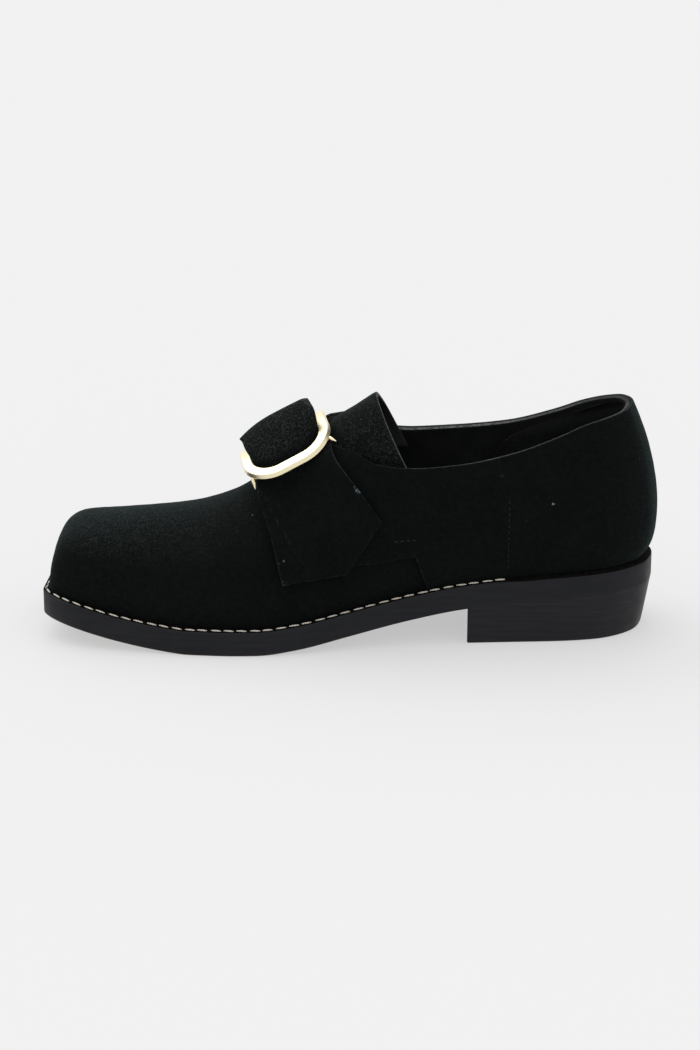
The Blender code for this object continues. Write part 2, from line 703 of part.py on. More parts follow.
def buckle_frame(material):
    """The buckle's frame: a flat bar with a chamfered top, bent round a rounded rectangle and arched."""
    half, up, cut = BUCKLE_BAR_WIDTH / 2, BUCKLE_BAR_THICKNESS / 2, BUCKLE_BAR_CHAMFER
    profile = ((-half, -up), (half, -up), (half, up - cut), (half - cut, up), (cut - half, up), (-half, up - cut))
    steps = 48

    def place(i, j):
        turn = i / steps
        out, rise = profile[j % len(profile)]
        along, across = frame_path(turn, BUCKLE_HALF_LENGTH, BUCKLE_HALF_SPAN, BUCKLE_CORNER)
        ahead = frame_path(turn + 1e-3, BUCKLE_HALF_LENGTH, BUCKLE_HALF_SPAN, BUCKLE_CORNER)
        tangent = ahead - np.array([along, across])
        tangent /= np.linalg.norm(tangent)
        along, across = along + tangent[1] * out, across - tangent[0] * out
        angle = across / BUCKLE_ARCH_RADIUS
        radius = BUCKLE_ARCH_RADIUS + rise
        return on_slope(along, radius * math.sin(angle), radius * math.cos(angle) - BUCKLE_ARCH_RADIUS)

    bm = placed_grid(steps, len(profile), place)
    bmesh.ops.recalc_face_normals(bm, faces=bm.faces)
    return new_object("buckle_frame", bm, material)


def buckle_leg(name, material):
    """One of the tapered legs whose ends show beside the strap."""
    root, tip = (Vector(on_slope(*end)) * MM for end in LEGS[name])
    direction = tip - root
    turned = direction.to_track_quat("Z", "Y").to_matrix().to_4x4()
    bm = bmesh.new()
    bmesh.ops.create_cone(
        bm,
        cap_ends=True,
        segments=10,
        radius1=LEG_RADII[0] * MM,
        radius2=LEG_RADII[1] * MM,
        depth=direction.length,
        matrix=Matrix.Translation((root + tip) / 2) @ turned,
    )
    return new_object(name, bm, material)


def main():
    for obj in list(bpy.data.objects):
        bpy.data.objects.remove(obj)
    collection = bpy.data.collections.new("buckle_shoe")
    bpy.context.scene.collection.children.link(collection)
    suede = finish("black_suede", (0.012, 0.014, 0.014), 0.95)
    leather = finish("sole_leather", (0.016, 0.015, 0.016), 0.5)
    lining = finish("lining_leather", (0.01, 0.01, 0.011), 0.45)
    brass = finish("satin_brass", (0.86, 0.77, 0.52), 0.35, 1.0)
    upper(suede)
    quarter("quarter_lateral", LATERAL, suede)
    quarter("quarter_medial", MEDIAL, suede)
    tongue(suede)
    strap(suede)
    sole_layer("outsole", WELT_MARGIN, sole_underside, OUTSOLE_THICKNESS, leather)
    welt(leather)
    heel(leather)
    sole_layer("insole", -WALL - 2 * GAP, feather_height, INSOLE_THICKNESS, lining)
    buckle_frame(brass)
    for name in LEGS:
        buckle_leg(name, brass)


main()
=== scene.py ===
"""Looks of a left buckle shoe: napped black suede, a stitched leather sole and a pale brass buckle.

The toe points to -X and the outer side of the foot faces -Y. Sizes and tables are in millimetres,
as the solids were drawn, and MM turns them into metres as each piece is placed.
"""

import math
from collections import namedtuple
from functools import lru_cache

import bmesh
import bpy
import numpy as np
from mathutils import Matrix, Vector, noise


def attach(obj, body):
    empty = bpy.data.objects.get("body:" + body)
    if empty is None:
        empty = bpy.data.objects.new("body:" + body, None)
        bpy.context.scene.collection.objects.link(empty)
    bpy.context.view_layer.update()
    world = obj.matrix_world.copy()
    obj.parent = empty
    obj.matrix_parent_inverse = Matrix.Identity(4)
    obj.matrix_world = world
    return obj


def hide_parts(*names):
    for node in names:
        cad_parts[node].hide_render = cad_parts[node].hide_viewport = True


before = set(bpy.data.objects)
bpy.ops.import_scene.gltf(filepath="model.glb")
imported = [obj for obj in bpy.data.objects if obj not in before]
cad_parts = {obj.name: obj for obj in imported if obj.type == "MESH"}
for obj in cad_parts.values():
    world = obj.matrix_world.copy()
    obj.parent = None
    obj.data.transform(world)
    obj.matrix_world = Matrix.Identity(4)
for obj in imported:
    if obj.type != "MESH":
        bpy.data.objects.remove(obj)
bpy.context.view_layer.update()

MM = 0.001
# Corners nearer than this, in metres, are one
WELD_M = 1e-6
LATERAL, MEDIAL = -1.0, 1.0

# Sizes of the leather and of the sole
WALL = 2.0
QUARTER_THICKNESS = 1.6
TONGUE_THICKNESS = 2.2
OUTSOLE_THICKNESS = 8.7
WELT_THICKNESS = 3.3
INSOLE_THICKNESS = 3.0
WELT_MARGIN = 4.3
WELT_TUCK = 6.0
SEAM = 0.3
INSOLE_ROOM = 0.4
# Round the heel the welt's ledge falls outwards by this much, and between these two x it comes to that
WELT_SLOPE = 1.4
WELT_SLOPE_X = (68.0, 84.0)
# A face of the welt that points up at least this much is its ledge
LEDGE_FACES_UP = 0.85
# How far the edges of the sole's layers are rounded
OUTSOLE_RIM = 0.7
OUTSOLE_RIM_END_X = 57.5
WELT_RIM = 0.6
INSOLE_RIM = 0.6
TOP_PIECE_RIM = 1.3
LIFT_RIM = 0.08
HEEL_BREAST_X = 56.5
HEEL_BREAST_CURVE = 3.0
HEEL_BREAST_ROOM = 2.0
HEEL_TAPER_SIDE = 1.2
HEEL_TAPER_BACK = 4.4
TOP_PIECE_THICKNESS = 5.5
HEEL_LIFTS = 3

# The toe and the heel end of the upper
TOE_FRONT_X = -144.3
TOE_DEPTH = 21.0
TOE_PROFILE_POWER = 3.4
TOE_CORNER = 9.5
TOE_CORNER_POWER = 2.1
TOE_BOW = 0.4
TOE_SKEW = 1.6
TOE_MARGIN = 3.0
HEEL_CENTRE_X = 100.0
HEEL_BASE_LENGTH = 43.9
HEEL_TOP_LENGTH = 35.8
HEEL_POWER = 2.2
HEEL_TURNS = (22.5, 45.0, 67.5, 90.0, 112.5)

# Underside of the outsole along the foot
SOLE_PROFILE = (
    # x, height of the underside
    (-152.0, 12.2),
    (-134.0, 9.3),
    (-112.0, 4.7),
    (-92.0, 1.5),
    (-76.0, 0.0),
    (-46.0, 0.0),
    (-26.0, 2.0),
    (0.0, 7.2),
    (28.0, 13.2),
    (54.0, 17.8),
    (100.0, 22.6),
    (150.0, 25.6),
)

# Sections of the upper from toe to heel: each half is a cubic from the feather line to the ridge or collar
Section = namedtuple(
    "Section", "x lateral medial top_x top_y top_z top_z_medial rise flare reach drop turn"
)
SIDE_SECTIONS = (
    Section(-146.0, 30.0, 30.5, -146.0, 0.0, 52.0, 52.0, 21.0, 0.5, 22.0, 0.0, 0.0),
    Section(-125.0, 37.2, 37.8, -125.0, 0.0, 54.6, 54.6, 23.5, 1.0, 24.5, 0.0, 0.0),
    Section(-100.0, 43.0, 44.6, -100.0, 0.0, 56.6, 56.6, 24.0, 1.5, 26.0, 0.0, 0.0),
    Section(-76.0, 47.0, 48.7, -76.0, 0.0, 59.2, 59.2, 25.0, 2.0, 27.0, 0.0, 0.0),
    Section(-55.0, 48.7, 48.0, -55.5, 0.0, 66.0, 66.0, 28.0, 2.0, 27.0, 0.0, 0.0),
    Section(-40.0, 48.2, 45.6, -41.0, 0.0, 76.0, 76.0, 32.0, 2.0, 22.0, 0.5, 0.0),
    Section(-29.0, 46.7, 43.0, -31.0, 0.0, 83.0, 83.0, 34.0, 2.0, 18.0, 1.5, 0.0),
    Section(-20.0, 45.0, 40.9, -21.0, 8.0, 88.6, 89.0, 34.0, 2.0, 14.0, 6.0, 0.0),
    Section(-9.0, 42.6, 38.6, -9.0, 17.0, 94.6, 99.2, 32.0, 2.0, 11.0, 10.0, 0.0),
    Section(2.0, 40.2, 36.4, 1.0, 24.0, 93.2, 98.8, 28.0, 2.2, 10.5, 14.0, 0.0),
    Section(14.0, 37.8, 34.4, 13.0, 28.5, 88.2, 92.0, 24.0, 2.4, 8.0, 18.0, 0.0),
    Section(30.0, 35.2, 32.4, 30.0, 30.4, 87.0, 89.4, 21.0, 2.6, 6.0, 20.0, 0.0),
    Section(54.0, 32.6, 31.2, 54.0, 30.8, 89.2, 90.4, 19.0, 3.0, 5.0, 19.0, 0.0),
    Section(78.0, 31.4, 31.2, 78.0, 29.8, 94.4, 93.0, 18.0, 3.4, 4.6, 19.0, 0.0),
    Section(100.0, 30.8, 30.8, 99.0, 27.6, 101.8, 98.6, 17.0, 3.8, 5.0, 20.0, 0.0),
)
BACK_TOP_Z = 111.8
BACK_CLIMB_POWER = 0.5
BACK_CLIMB_POWER_MEDIAL = 0.9
BACK_RISE = 16.0
BACK_FLARE = 9.4
BACK_REACH = 11.5
BACK_DROP = 24.0

# The upper draws in a little where it meets the welt
UPPER_TUCK = 0.6
UPPER_TUCK_SHARE = 0.12
# On the inner side the collar's cut edge is dark ahead of one x, and darkens again between two at the back
DARK_RIM_X = 6.0
RIM_FADE = (75.0, 125.0)

# Unevenness of the leather: height of its waves, length of its waves
UPPER_WAVES = ((0.35, 22.0), (0.12, 6.0))
QUARTER_WAVES = ((0.3, 22.0), (0.1, 6.0))
TONGUE_WAVES = ((0.3, 18.0),)
STRAP_WAVES = ((0.2, 14.0),)
# Share of the upper's height over which the waves die away towards the welt
CALM_SHARE = 0.25
# Which way a wave of the strap stands: out from the foot, and up
STRAP_WAVE_OUT = 0.8
STRAP_WAVE_UP = 0.6

# The quarters: rows of the upper's sections and shares of their height
QUARTER_FRONT_X = 31.0
QUARTER_FRONT_SLANT = 6.4
QUARTER_TUCK = 1.3
QUARTER_TUCK_SHARE = 0.14
LATCHET_EDGES = (
    # row, share at the lower edge, share at the upper edge
    (5.2, 0.24, 0.84),
    (6.0, 0.24, 0.86),
    (7.0, 0.24, 0.89),
    (8.0, 0.245, 1.0),
    (9.0, 0.26, 1.0),
    (11.04, 0.31, 1.0),
    (18.0, 0.34, 1.0),
)
LATCHET_FRONT = (
    # share, row of its front edge, just behind the edge of the strap
    (0.2, 5.86),
    (0.5, 5.28),
    (0.78, 5.0),
    (1.0, 5.0),
)

# The heel grip inside: where its front edge crosses the lining
GRIP_FRONT = (
    # share, row
    (0.2, 12.4),
    (0.6, 12.6),
    (0.747, 12.79),
    (0.823, 12.92),
    (0.87, 13.06),
    (0.902, 13.28),
    (0.93, 13.75),
    (0.952, 14.7),
    (0.975, 16.2),
    (1.0, 17.0),
)
GRIP_THICKNESS = 1.0
# Its lower and upper edge, where it is pared and by how much, and how deep its back sits in the lining
GRIP_EDGES = (0.2, 0.975)
GRIP_PARED_SHARES = (0.86, 0.95)
GRIP_PARED = 0.85
GRIP_SUNK = 0.3

# The tongue: its crown at (x, z), its sides half out, dropped down and further back than the crown by lean
TongueRow = namedtuple("TongueRow", "x z half drop_lateral drop_medial lean")
TONGUE = (
    TongueRow(-46.0, 66.0, 12.0, 5.0, 5.0, 0.0),
    TongueRow(-31.0, 76.4, 14.5, 8.0, 8.0, 1.0),
    TongueRow(-20.0, 86.0, 17.0, 16.5, 16.0, 2.0),
    TongueRow(-8.0, 102.2, 20.0, 31.0, 24.0, 4.0),
    TongueRow(3.5, 110.0, 23.0, 28.0, 26.5, 9.0),
    TongueRow(12.5, 116.2, 25.0, 30.0, 30.0, 14.0),
)
# Degrees of its arch on each side of the crown, and what the free end adds to them
TONGUE_ARCH = 85.0
TONGUE_WRAP = 13.0
# How far its free end is rounded down, and how much painted sheen its nap carries as pale flecks
TONGUE_CORNER = 0.4
TONGUE_SHEEN = 0.8

# The buckle's frame lies in a slope up the instep, turned a little in plan, and is arched across the foot
BUCKLE_CENTRE = (-32.3, -2.0, 93.1)
BUCKLE_SLOPE = 27.2
BUCKLE_TURN = 6.7
BUCKLE_HALF_LENGTH = 20.3
BUCKLE_HALF_SPAN = 25.0
BUCKLE_CORNER = 14.3
BUCKLE_ARCH_RADIUS = 60.0
BUCKLE_BAR = (
    # out from the middle of the bar, up from it: once round the section
    (-2.75, -1.0),
    (-2.3, -1.4),
    (2.3, -1.4),
    (2.9, -1.1),
    (3.0, -0.6),
    (2.3, 1.25),
    (2.05, 1.42),
    (-2.1, 1.45),
    (-2.6, 1.15),
    (-2.75, 0.6),
)
LEG_RADIUS = 1.15
LEG_TAPER = (
    # share of its length, radius
    (0.45, 0.95),
    (0.93, 0.3),
    (1.0, 0.08),
)
LEGS = {
    "buckle_leg_front": ((-20.6, -17.3, -4.6), (-22.2, -20.8, -9.2)),
    "buckle_leg_rear": ((20.2, -17.6, -4.4), (22.9, -21.2, -6.8)),
}

# The strap through the buckle: its outer face runs through a front edge, a middle and a rear edge
HumpRow = namedtuple(
    "HumpRow",
    "front_along front_across front_height middle_across middle_height"
    " rear_along rear_across rear_height bend",
)
HUMP = (
    HumpRow(-20.3, -17.5, -7.9, -23.8, -7.2, 20.4, -19.2, -4.8, 1.5),
    HumpRow(-17.6, -12.6, -4.9, -20.0, -5.9, 17.4, -13.6, -4.0, 2.5),
    HumpRow(-17.6, -9.6, 0.7, -17.2, -0.7, 17.9, -9.8, 0.5, 3.0),
    HumpRow(-18.3, -4.5, 5.7, -12.5, 5.7, 20.2, -7.2, 8.3, 3.0),
    HumpRow(-18.2, 0.5, 8.0, -6.0, 10.9, 20.2, -3.0, 11.4, 2.5),
    HumpRow(-18.9, 4.5, 9.1, 1.0, 13.4, 19.8, 1.5, 13.1, 2.0),
    HumpRow(-18.0, 7.6, 7.6, 7.5, 11.0, 19.0, 5.5, 11.4, 2.5),
    HumpRow(-16.8, 9.4, 5.3, 12.5, 5.7, 17.6, 8.6, 8.0, 3.0),
    HumpRow(-16.8, 10.4, 0.7, 17.2, -0.7, 16.6, 10.2, 0.5, 3.0),
    HumpRow(-17.2, 13.6, -4.6, 20.0, -5.9, 15.6, 13.6, -4.0, 2.5),
    HumpRow(-18.8, 17.5, -8.6, 23.6, -7.2, 15.6, 18.6, -5.3, 1.5),
)
# How far its rear corner is rounded down, from which share of its width, and between which rows its nap
# carries painted sheen
HUMP_CORNER = 1.0
HUMP_CORNER_SHARE = 0.91
HUMP_SHEEN_ROWS = (1.5, 8.5)
StrapRow = namedtuple("StrapRow", "front_x front_z rear_x rear_z lift")
STRAP_LATERAL = (
    StrapRow(-41.4, 64.6, -4.4, 88.0, 3.8),
    StrapRow(-39.5, 60.0, 5.0, 76.0, 2.6),
    StrapRow(-36.6, 50.6, 14.9, 62.4, 2.3),
    StrapRow(-32.4, 33.2, -1.9, 38.4, 2.2),
)
STRAP_MEDIAL = (
    StrapRow(-46.0, 64.0, -12.0, 82.0, 5.0),
    StrapRow(-43.0, 56.0, -5.0, 70.0, 2.6),
    StrapRow(-40.0, 49.0, -1.0, 58.0, 2.4),
    StrapRow(-37.0, 42.0, 1.0, 47.0, 2.3),
)
STRAP_THICKNESS = 2.6
# The front edge of the latchet under the strap shows through it as a faint step, from top to bottom
STRAP_STEP = ((-40.2, 70.5), (-24.7, 47.5))
STRAP_STEP_HEIGHT = 0.7
STRAP_STEP_WIDTH = 1.2
# How far it runs on below and above, fades at its upper end, and how far to either side a painted highlight
# of paler nap runs along it
STRAP_STEP_BELOW = 9.0
STRAP_STEP_ABOVE = 4.0
STRAP_STEP_FADE = 6.0
STRAP_STEP_HIGHLIGHT = 2.0

# Thread: the welt's cream stitches and the finer dark ones of the seams
Stitch = namedtuple("Stitch", "pitch length thickness proud")
WELT_STITCH = Stitch(6.2, 5.2, 0.95, 0.2)
WELT_STITCH_MARGIN = 2.0
WELT_STITCH_END_X = 77.0
WELT_STITCH_SLANT = 7.0
WELT_STITCH_STRAY = 0.25
SEAM_STITCH = Stitch(3.0, 2.0, 0.4, 0.05)
# A short row over the latchet's lower edge, and a column on the quarter between two shares
LATCHET_STITCH_ROWS = (10.45, 10.8, 11.2)
LATCHET_STITCH_ABOVE = 0.14
QUARTER_STITCH_ROW = 12.9
QUARTER_STITCH_SHARES = (0.09, 0.7)

# Marks on the suede: specks of lint and rubbed places
SUEDE_MARKS = (
    # place, radius, colour
    ((72.0, -33.8, 84.4), 1.0, (0.014, 0.011, 0.008)),
    ((96.5, -34.3, 70.6), 0.6, (0.28, 0.28, 0.28)),
    ((-31.3, -45.8, 45.8), 0.8, (0.09, 0.09, 0.09)),
    ((-32.6, -49.6, 34.6), 2.4, (0.03, 0.031, 0.031)),
    ((3.6, -38.2, 78.4), 1.5, (0.08, 0.11, 0.12)),
    ((2.2, -37.4, 80.0), 0.8, (0.05, 0.06, 0.06)),
    ((-21.4, -0.4, 114.0), 3.0, (0.035, 0.038, 0.037)),
    ((-19.6, -3.8, 112.8), 2.4, (0.03, 0.032, 0.031)),
)

# Light and floor
ROOM_LIGHT = 0.885
FLOOR_SHADE = 0.3
FLOOR_GLOW = 0.5
FLOOR_HALF_M = 8.0
LAMP_DIRECTION = (0.35, -0.45, -0.82)
LAMP_STRENGTH = 1.5
LAMP_SPREAD = 70.0

# The camera, from the photograph's angle
CAMERA_TARGET = (0.0, 0.0, 48.6)
CAMERA_DISTANCE = 1300.0
CAMERA_ELEVATION = 18.5
CAMERA_LENS = 90.93


def held_share(value, start, end):
    """How far value has come from start to end, from 0 to 1."""
    return min(1.0, max(0.0, (value - start) / (end - start)))


def cubic(t, a, b, leave, arrive):
    """The curve from a to b at t, which leaves a and arrives at b with these slopes."""
    ends = (2 * t**3 - 3 * t**2 + 1) * a + (3 * t**2 - 2 * t**3) * b
    return ends + (t**3 - 2 * t**2 + t) * leave + (t**3 - t**2) * arrive


def monotone_cubic(xs, ys, x):
    """The value at x of the smooth curve through the rows (xs, ys), which never overshoots a row."""
    xs, ys = np.asarray(xs, float), np.asarray(ys, float)
    step = np.diff(xs)
    secant = np.diff(ys) / step
    slope = np.zeros_like(ys)
    slope[0], slope[-1] = secant[0], secant[-1]
    for i in range(1, len(xs) - 1):
        if secant[i - 1] * secant[i] > 0:
            before, after = 2 * step[i] + step[i - 1], step[i] + 2 * step[i - 1]
            slope[i] = (before + after) / (before / secant[i - 1] + after / secant[i])
    x = float(np.clip(x, xs[0], xs[-1]))
    i = int(np.clip(np.searchsorted(xs, x) - 1, 0, len(xs) - 2))
    t = (x - xs[i]) / step[i]
    return float(cubic(t, ys[i], ys[i + 1], step[i] * slope[i], step[i] * slope[i + 1]))


@lru_cache(maxsize=None)
def sole_underside(x):
    return monotone_cubic(*zip(*SOLE_PROFILE), x)


def welt_underside(x):
    return sole_underside(x) + OUTSOLE_THICKNESS


def feather_height(x):
    """Height of the upper's lower edge, on the welt."""
    return welt_underside(x) + WELT_THICKNESS


def heel_section(turn):
    """A section of the heel end, whose plane has turned away from straight across by this many degrees."""
    side = SIDE_SECTIONS[-1]
    a = math.radians(turn)
    along = math.sin(a) ** (2 / HEEL_POWER)
    across = math.copysign(abs(math.cos(a)) ** (2 / HEEL_POWER), math.cos(a))
    share = math.sin(a) ** 2
    climb = math.sin(a) ** BACK_CLIMB_POWER
    climb_medial = math.sin(a) ** BACK_CLIMB_POWER_MEDIAL

    def ease(start, end):
        return start + (end - start) * share

    return Section(
        HEEL_CENTRE_X + HEEL_BASE_LENGTH * along,
        side.lateral * across,
        side.medial * across,
        side.top_x + HEEL_TOP_LENGTH * along,
        side.top_y * across,
        side.top_z + (BACK_TOP_Z - side.top_z) * climb,
        side.top_z_medial + (BACK_TOP_Z - side.top_z_medial) * climb_medial,
        ease(side.rise, BACK_RISE),
        ease(side.flare, BACK_FLARE),
        ease(side.reach, BACK_REACH),
        ease(side.drop, BACK_DROP),
        turn,
    )


SECTIONS = SIDE_SECTIONS + tuple(heel_section(turn) for turn in HEEL_TURNS)
BACK_ROW = len(SECTIONS) - 2


@lru_cache(maxsize=None)
def section_at(row):
    """The section at a fractional row of the table."""
    rows = range(len(SECTIONS))
    return Section(*(monotone_cubic(rows, column, row) for column in zip(*SECTIONS)))


SIDE_ROWS = np.linspace(0, len(SIDE_SECTIONS) - 1, 600)
SIDE_ROW_X = [section_at(float(r)).x for r in SIDE_ROWS]


def row_at_x(x):
    """The fractional row whose feather line is at x, along the sides."""
    return float(np.interp(x, SIDE_ROW_X, SIDE_ROWS))


def toe_rounding(x):
    """How far x is into the rounded front of the toe, from 0 to 1, and the share of the height there."""
    into = min(1.0, max(0.0, (TOE_FRONT_X + TOE_DEPTH - x) / TOE_DEPTH))
    return into, (1 - into**TOE_PROFILE_POWER) ** (1 / TOE_PROFILE_POWER)


@lru_cache(maxsize=None)
def half_section(row, side):
    """The four control points of the half section at a row, on the lateral or the medial side."""
    s = section_at(row)
    into, height = toe_rounding(s.x)
    corner = TOE_CORNER * (1 - (1 - into**TOE_CORNER_POWER) ** (1 / TOE_CORNER_POWER))
    half = (s.lateral if side == LATERAL else s.medial) - corner
    top_z = s.top_z if side == LATERAL else s.top_z_medial
    turn = math.radians(s.turn)
    out = np.array([math.sin(turn), side * math.cos(turn), 0.0])
    up = np.array([0.0, 0.0, 1.0])
    base = np.array([s.x, side * half, feather_height(s.x)])
    top = np.array([s.top_x, side * s.top_y, base[2] + (top_z - base[2]) * height])
    reach = s.reach * half / (half + corner) if into else s.reach
    points = np.array(
        [
            base,
            base + out * s.flare * height + up * s.rise * height,
            top + out * reach - up * s.drop,
            top,
        ]
    )
    across = 1 - (points[:, 1] / max(half, 1.0)) ** 2
    points[:, 0] -= TOE_BOW * into**2 * np.clip(across, 0.0, 1.0)
    points[:, 0] += TOE_SKEW * into**2 * points[:, 1] / max(half, 1.0)
    return points


def upper_point(row, share, side):
    """A point of the upper's outer face: share is 0 at the feather line and 1 at the ridge or collar."""
    a, b, c, d = half_section(round(float(row), 3), side)
    u = 1 - share
    return u**3 * a + 3 * u * u * share * b + 3 * u * share * share * c + share**3 * d


def upper_normal(row, share, side):
    """The outward direction of the upper's outer face."""
    step_share, step_row = 0.01, 0.02
    low, high = max(0.0, share - step_share), min(1.0, share + step_share)
    first, last = max(0.0, row - step_row), min(BACK_ROW + 0.5, row + step_row)
    along = upper_point(last, share, side) - upper_point(first, share, side)
    around = upper_point(row, high, side) - upper_point(row, low, side)
    normal = np.cross(along, around) * -side
    if share > 0.999 and section_at(round(float(row), 3)).top_y == 0:
        normal[1] = 0.0
    return normal / np.linalg.norm(normal)


def upper_lift(row, share, side, lift):
    """A point that stands off the upper's outer face by lift, or inside it where lift is negative."""
    return upper_point(row, share, side) + upper_normal(row, share, side) * lift


def fine_rows(per_row):
    """Rows of the upper from the toe to the back seam, close together over the rounded toe."""
    angles = np.radians(np.arange(0, 73, 3.0))
    depths = TOE_DEPTH * np.cos(angles) ** (2 / TOE_PROFILE_POWER)
    rows = [row_at_x(TOE_FRONT_X + TOE_DEPTH - depth) for depth in depths]
    rows += list(np.linspace(rows[-1], 1.0, 4)[1:-1])
    return rows + list(np.linspace(1.0, BACK_ROW, (BACK_ROW - 1) * per_row + 1))


ROWS = fine_rows(8)
FRONT_SHARES = np.linspace(0.0, 1.0, 13)


@lru_cache(maxsize=None)
def feather_loop(margin):
    """The feather line from above, moved out by margin: lateral side, heel, medial side, then the front."""
    lateral = [upper_point(row, 0.0, LATERAL) for row in ROWS]
    medial = [upper_point(row, 0.0, MEDIAL) for row in reversed(ROWS[:-1])]
    front = [upper_point(ROWS[0], share, MEDIAL) for share in FRONT_SHARES[1:]]
    front += [upper_point(ROWS[0], share, LATERAL) for share in reversed(FRONT_SHARES[1:-1])]
    loop = np.array(lateral + medial + front)[:, :2]
    tangent = np.roll(loop, -2, 0) - np.roll(loop, 2, 0)
    normal = np.stack([-tangent[:, 1], tangent[:, 0]], 1)
    normal /= np.linalg.norm(normal, axis=1)[:, None]
    if margin > 0:
        into = np.array([toe_rounding(x)[0] for x in loop[:, 0]])
        margin = (margin + (TOE_MARGIN - WELT_MARGIN) * (margin / WELT_MARGIN) * into**2)[:, None]
    return loop - normal * margin


def on_slope(along, across, height):
    """A point in the buckle's own slope: along it towards the heel, across the foot and out from it."""
    slope, turn = math.radians(BUCKLE_SLOPE), math.radians(BUCKLE_TURN)
    axis = np.array([math.cos(slope) * math.cos(turn), math.cos(slope) * math.sin(turn), math.sin(slope)])
    side = np.array([-math.sin(turn), math.cos(turn), 0.0])
    return np.array(BUCKLE_CENTRE) + along * axis + across * side + height * np.cross(axis, side)


def side_place(x, z, side):
    """Row and share of the point at x and height z on one side of the upper."""
    row = row_at_x(x)
    for _ in range(4):
        low, high = 0.0, 1.0
        for _ in range(20):
            share = (low + high) / 2
            if upper_point(row, share, side)[2] < z:
                low = share
            else:
                high = share
        row = row_at_x(x - (upper_point(row, share, side)[0] - section_at(round(row, 3)).x))
    return row, share


def side_point(x, z, side, lift):
    return upper_lift(*side_place(x, z, side), side, lift)


def smooth_line(points, position):
    """A point at a fractional row of a line of points, on a smooth curve through them."""
    i = int(min(max(math.floor(position), 0), len(points) - 2))
    t = position - i
    a, b = points[i], points[i + 1]
    before = points[i - 1] if i else 2 * a - b
    after = points[i + 2] if i + 2 < len(points) else 2 * b - a
    return cubic(t, a, b, (b - before) / 2, (after - a) / 2)


def unevenness(point, waves):
    """A small smooth rise or fall of the leather at a point, the same on every run."""
    return sum(height * noise.noise(Vector(point) / length) for height, length in waves)


def travelled(points):
    """How far along a line each of its points is."""
    return np.concatenate([[0.0], np.cumsum(np.linalg.norm(np.diff(points, axis=0), axis=1))])


# Mesh helpers


def placed_grid(along, across, place, keep=None, layers=()):
    """A grid whose corners are moved to place(i, j). keep(i, j) says which cells stay.
    Each of layers is (name, value(i, j)), kept on the corners for a material to read."""
    bm = bmesh.new()
    bmesh.ops.create_grid(bm, x_segments=along, y_segments=across, size=1.0)

    def index(co):
        return (co.x + 1) / 2 * along, (co.y + 1) / 2 * across

    if keep:
        cells = [f for f in bm.faces if not keep(*(int(n) for n in index(f.calc_center_median())))]
        bmesh.ops.delete(bm, geom=cells, context="FACES")
    kept = [(bm.verts.layers.float.new(name), value) for name, value in layers]
    for v in bm.verts:
        i, j = (round(n) for n in index(v.co))
        for layer, value in kept:
            v[layer] = value(i, j)
        v.co = Vector(place(i, j)) * MM
    bmesh.ops.remove_doubles(bm, verts=bm.verts, dist=WELD_M)
    return bm


def placed_solid(along, across, low, high):
    """A solid between two sheets on one grid. The layer up is 0 on its underside and 1 on its top."""
    bm = bmesh.new()
    bmesh.ops.create_grid(bm, x_segments=along, y_segments=across, size=1.0)
    column, line = bm.verts.layers.int.new("column"), bm.verts.layers.int.new("line")
    up = bm.verts.layers.float.new("up")
    for v in bm.verts:
        v[column] = round((v.co.x + 1) / 2 * along)
        v[line] = round((v.co.y + 1) / 2 * across)
        v.co = Vector(low(v[column], v[line])) * MM
    bmesh.ops.remove_doubles(bm, verts=bm.verts, dist=WELD_M)
    made = bmesh.ops.extrude_face_region(bm, geom=bm.faces[:])
    for v in made["geom"]:
        if isinstance(v, bmesh.types.BMVert):
            v.co = Vector(high(v[column], v[line])) * MM
            v[up] = 1.0
    bmesh.ops.recalc_face_normals(bm, faces=bm.faces)
    return bm


def piece(name, bm, slot, *materials, replaces=None, crease=50):
    """A finished piece of the shoe, riding on its one body. The layer upward is how far it faces up."""
    bm.normal_update()
    upward = bm.verts.layers.float.new("upward")
    for v in bm.verts:
        v[upward] = v.normal.z
    mesh = bpy.data.meshes.new(name)
    bm.to_mesh(mesh)
    bm.free()
    for material in materials:
        mesh.materials.append(material)
    mesh.shade_smooth()
    mesh.set_sharp_from_angle(angle=math.radians(crease))
    obj = bpy.data.objects.new(name, mesh)
    bpy.context.scene.collection.objects.link(obj)
    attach(obj, "root")
    if replaces:
        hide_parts(replaces)
    return obj


def round_rim(bm, width, wanted):
    """Rounds the sharp edges between corners that are wanted(corner)."""
    sharp = math.radians(50)
    edges = [e for e in bm.edges if e.is_manifold and e.calc_face_angle() > sharp]
    edges = [e for e in edges if all(wanted(v) for v in e.verts)]
    bmesh.ops.bevel(
        bm,
        geom=edges,
        offset=width * MM,
        offset_type="OFFSET",
        segments=3,
        profile=0.5,
        affect="EDGES",
        material=-1,
    )


def soften(obj, width, segments=2):
    """Rounds the hard edges of a piece."""
    bevel = obj.modifiers.new("soft_edges", "BEVEL")
    bevel.width = width * MM
    bevel.segments = segments
    bevel.limit_method = "ANGLE"
    bevel.angle_limit = math.radians(50)
    bevel.harden_normals = False


def leather_sheet(name, bm, finishes, node, thickness, rounded, even=True):
    """A sheet with its thickness inwards. Its finishes are for the outside, the inside and the cut edge."""
    obj = piece(name, bm, "black_suede", *finishes, replaces=node)
    solidify = obj.modifiers.new("wall", "SOLIDIFY")
    solidify.thickness = thickness * MM
    solidify.offset = -1.0
    solidify.use_even_offset = even
    solidify.material_offset = 1
    solidify.material_offset_rim = 2
    soften(obj, rounded)


# Finishes


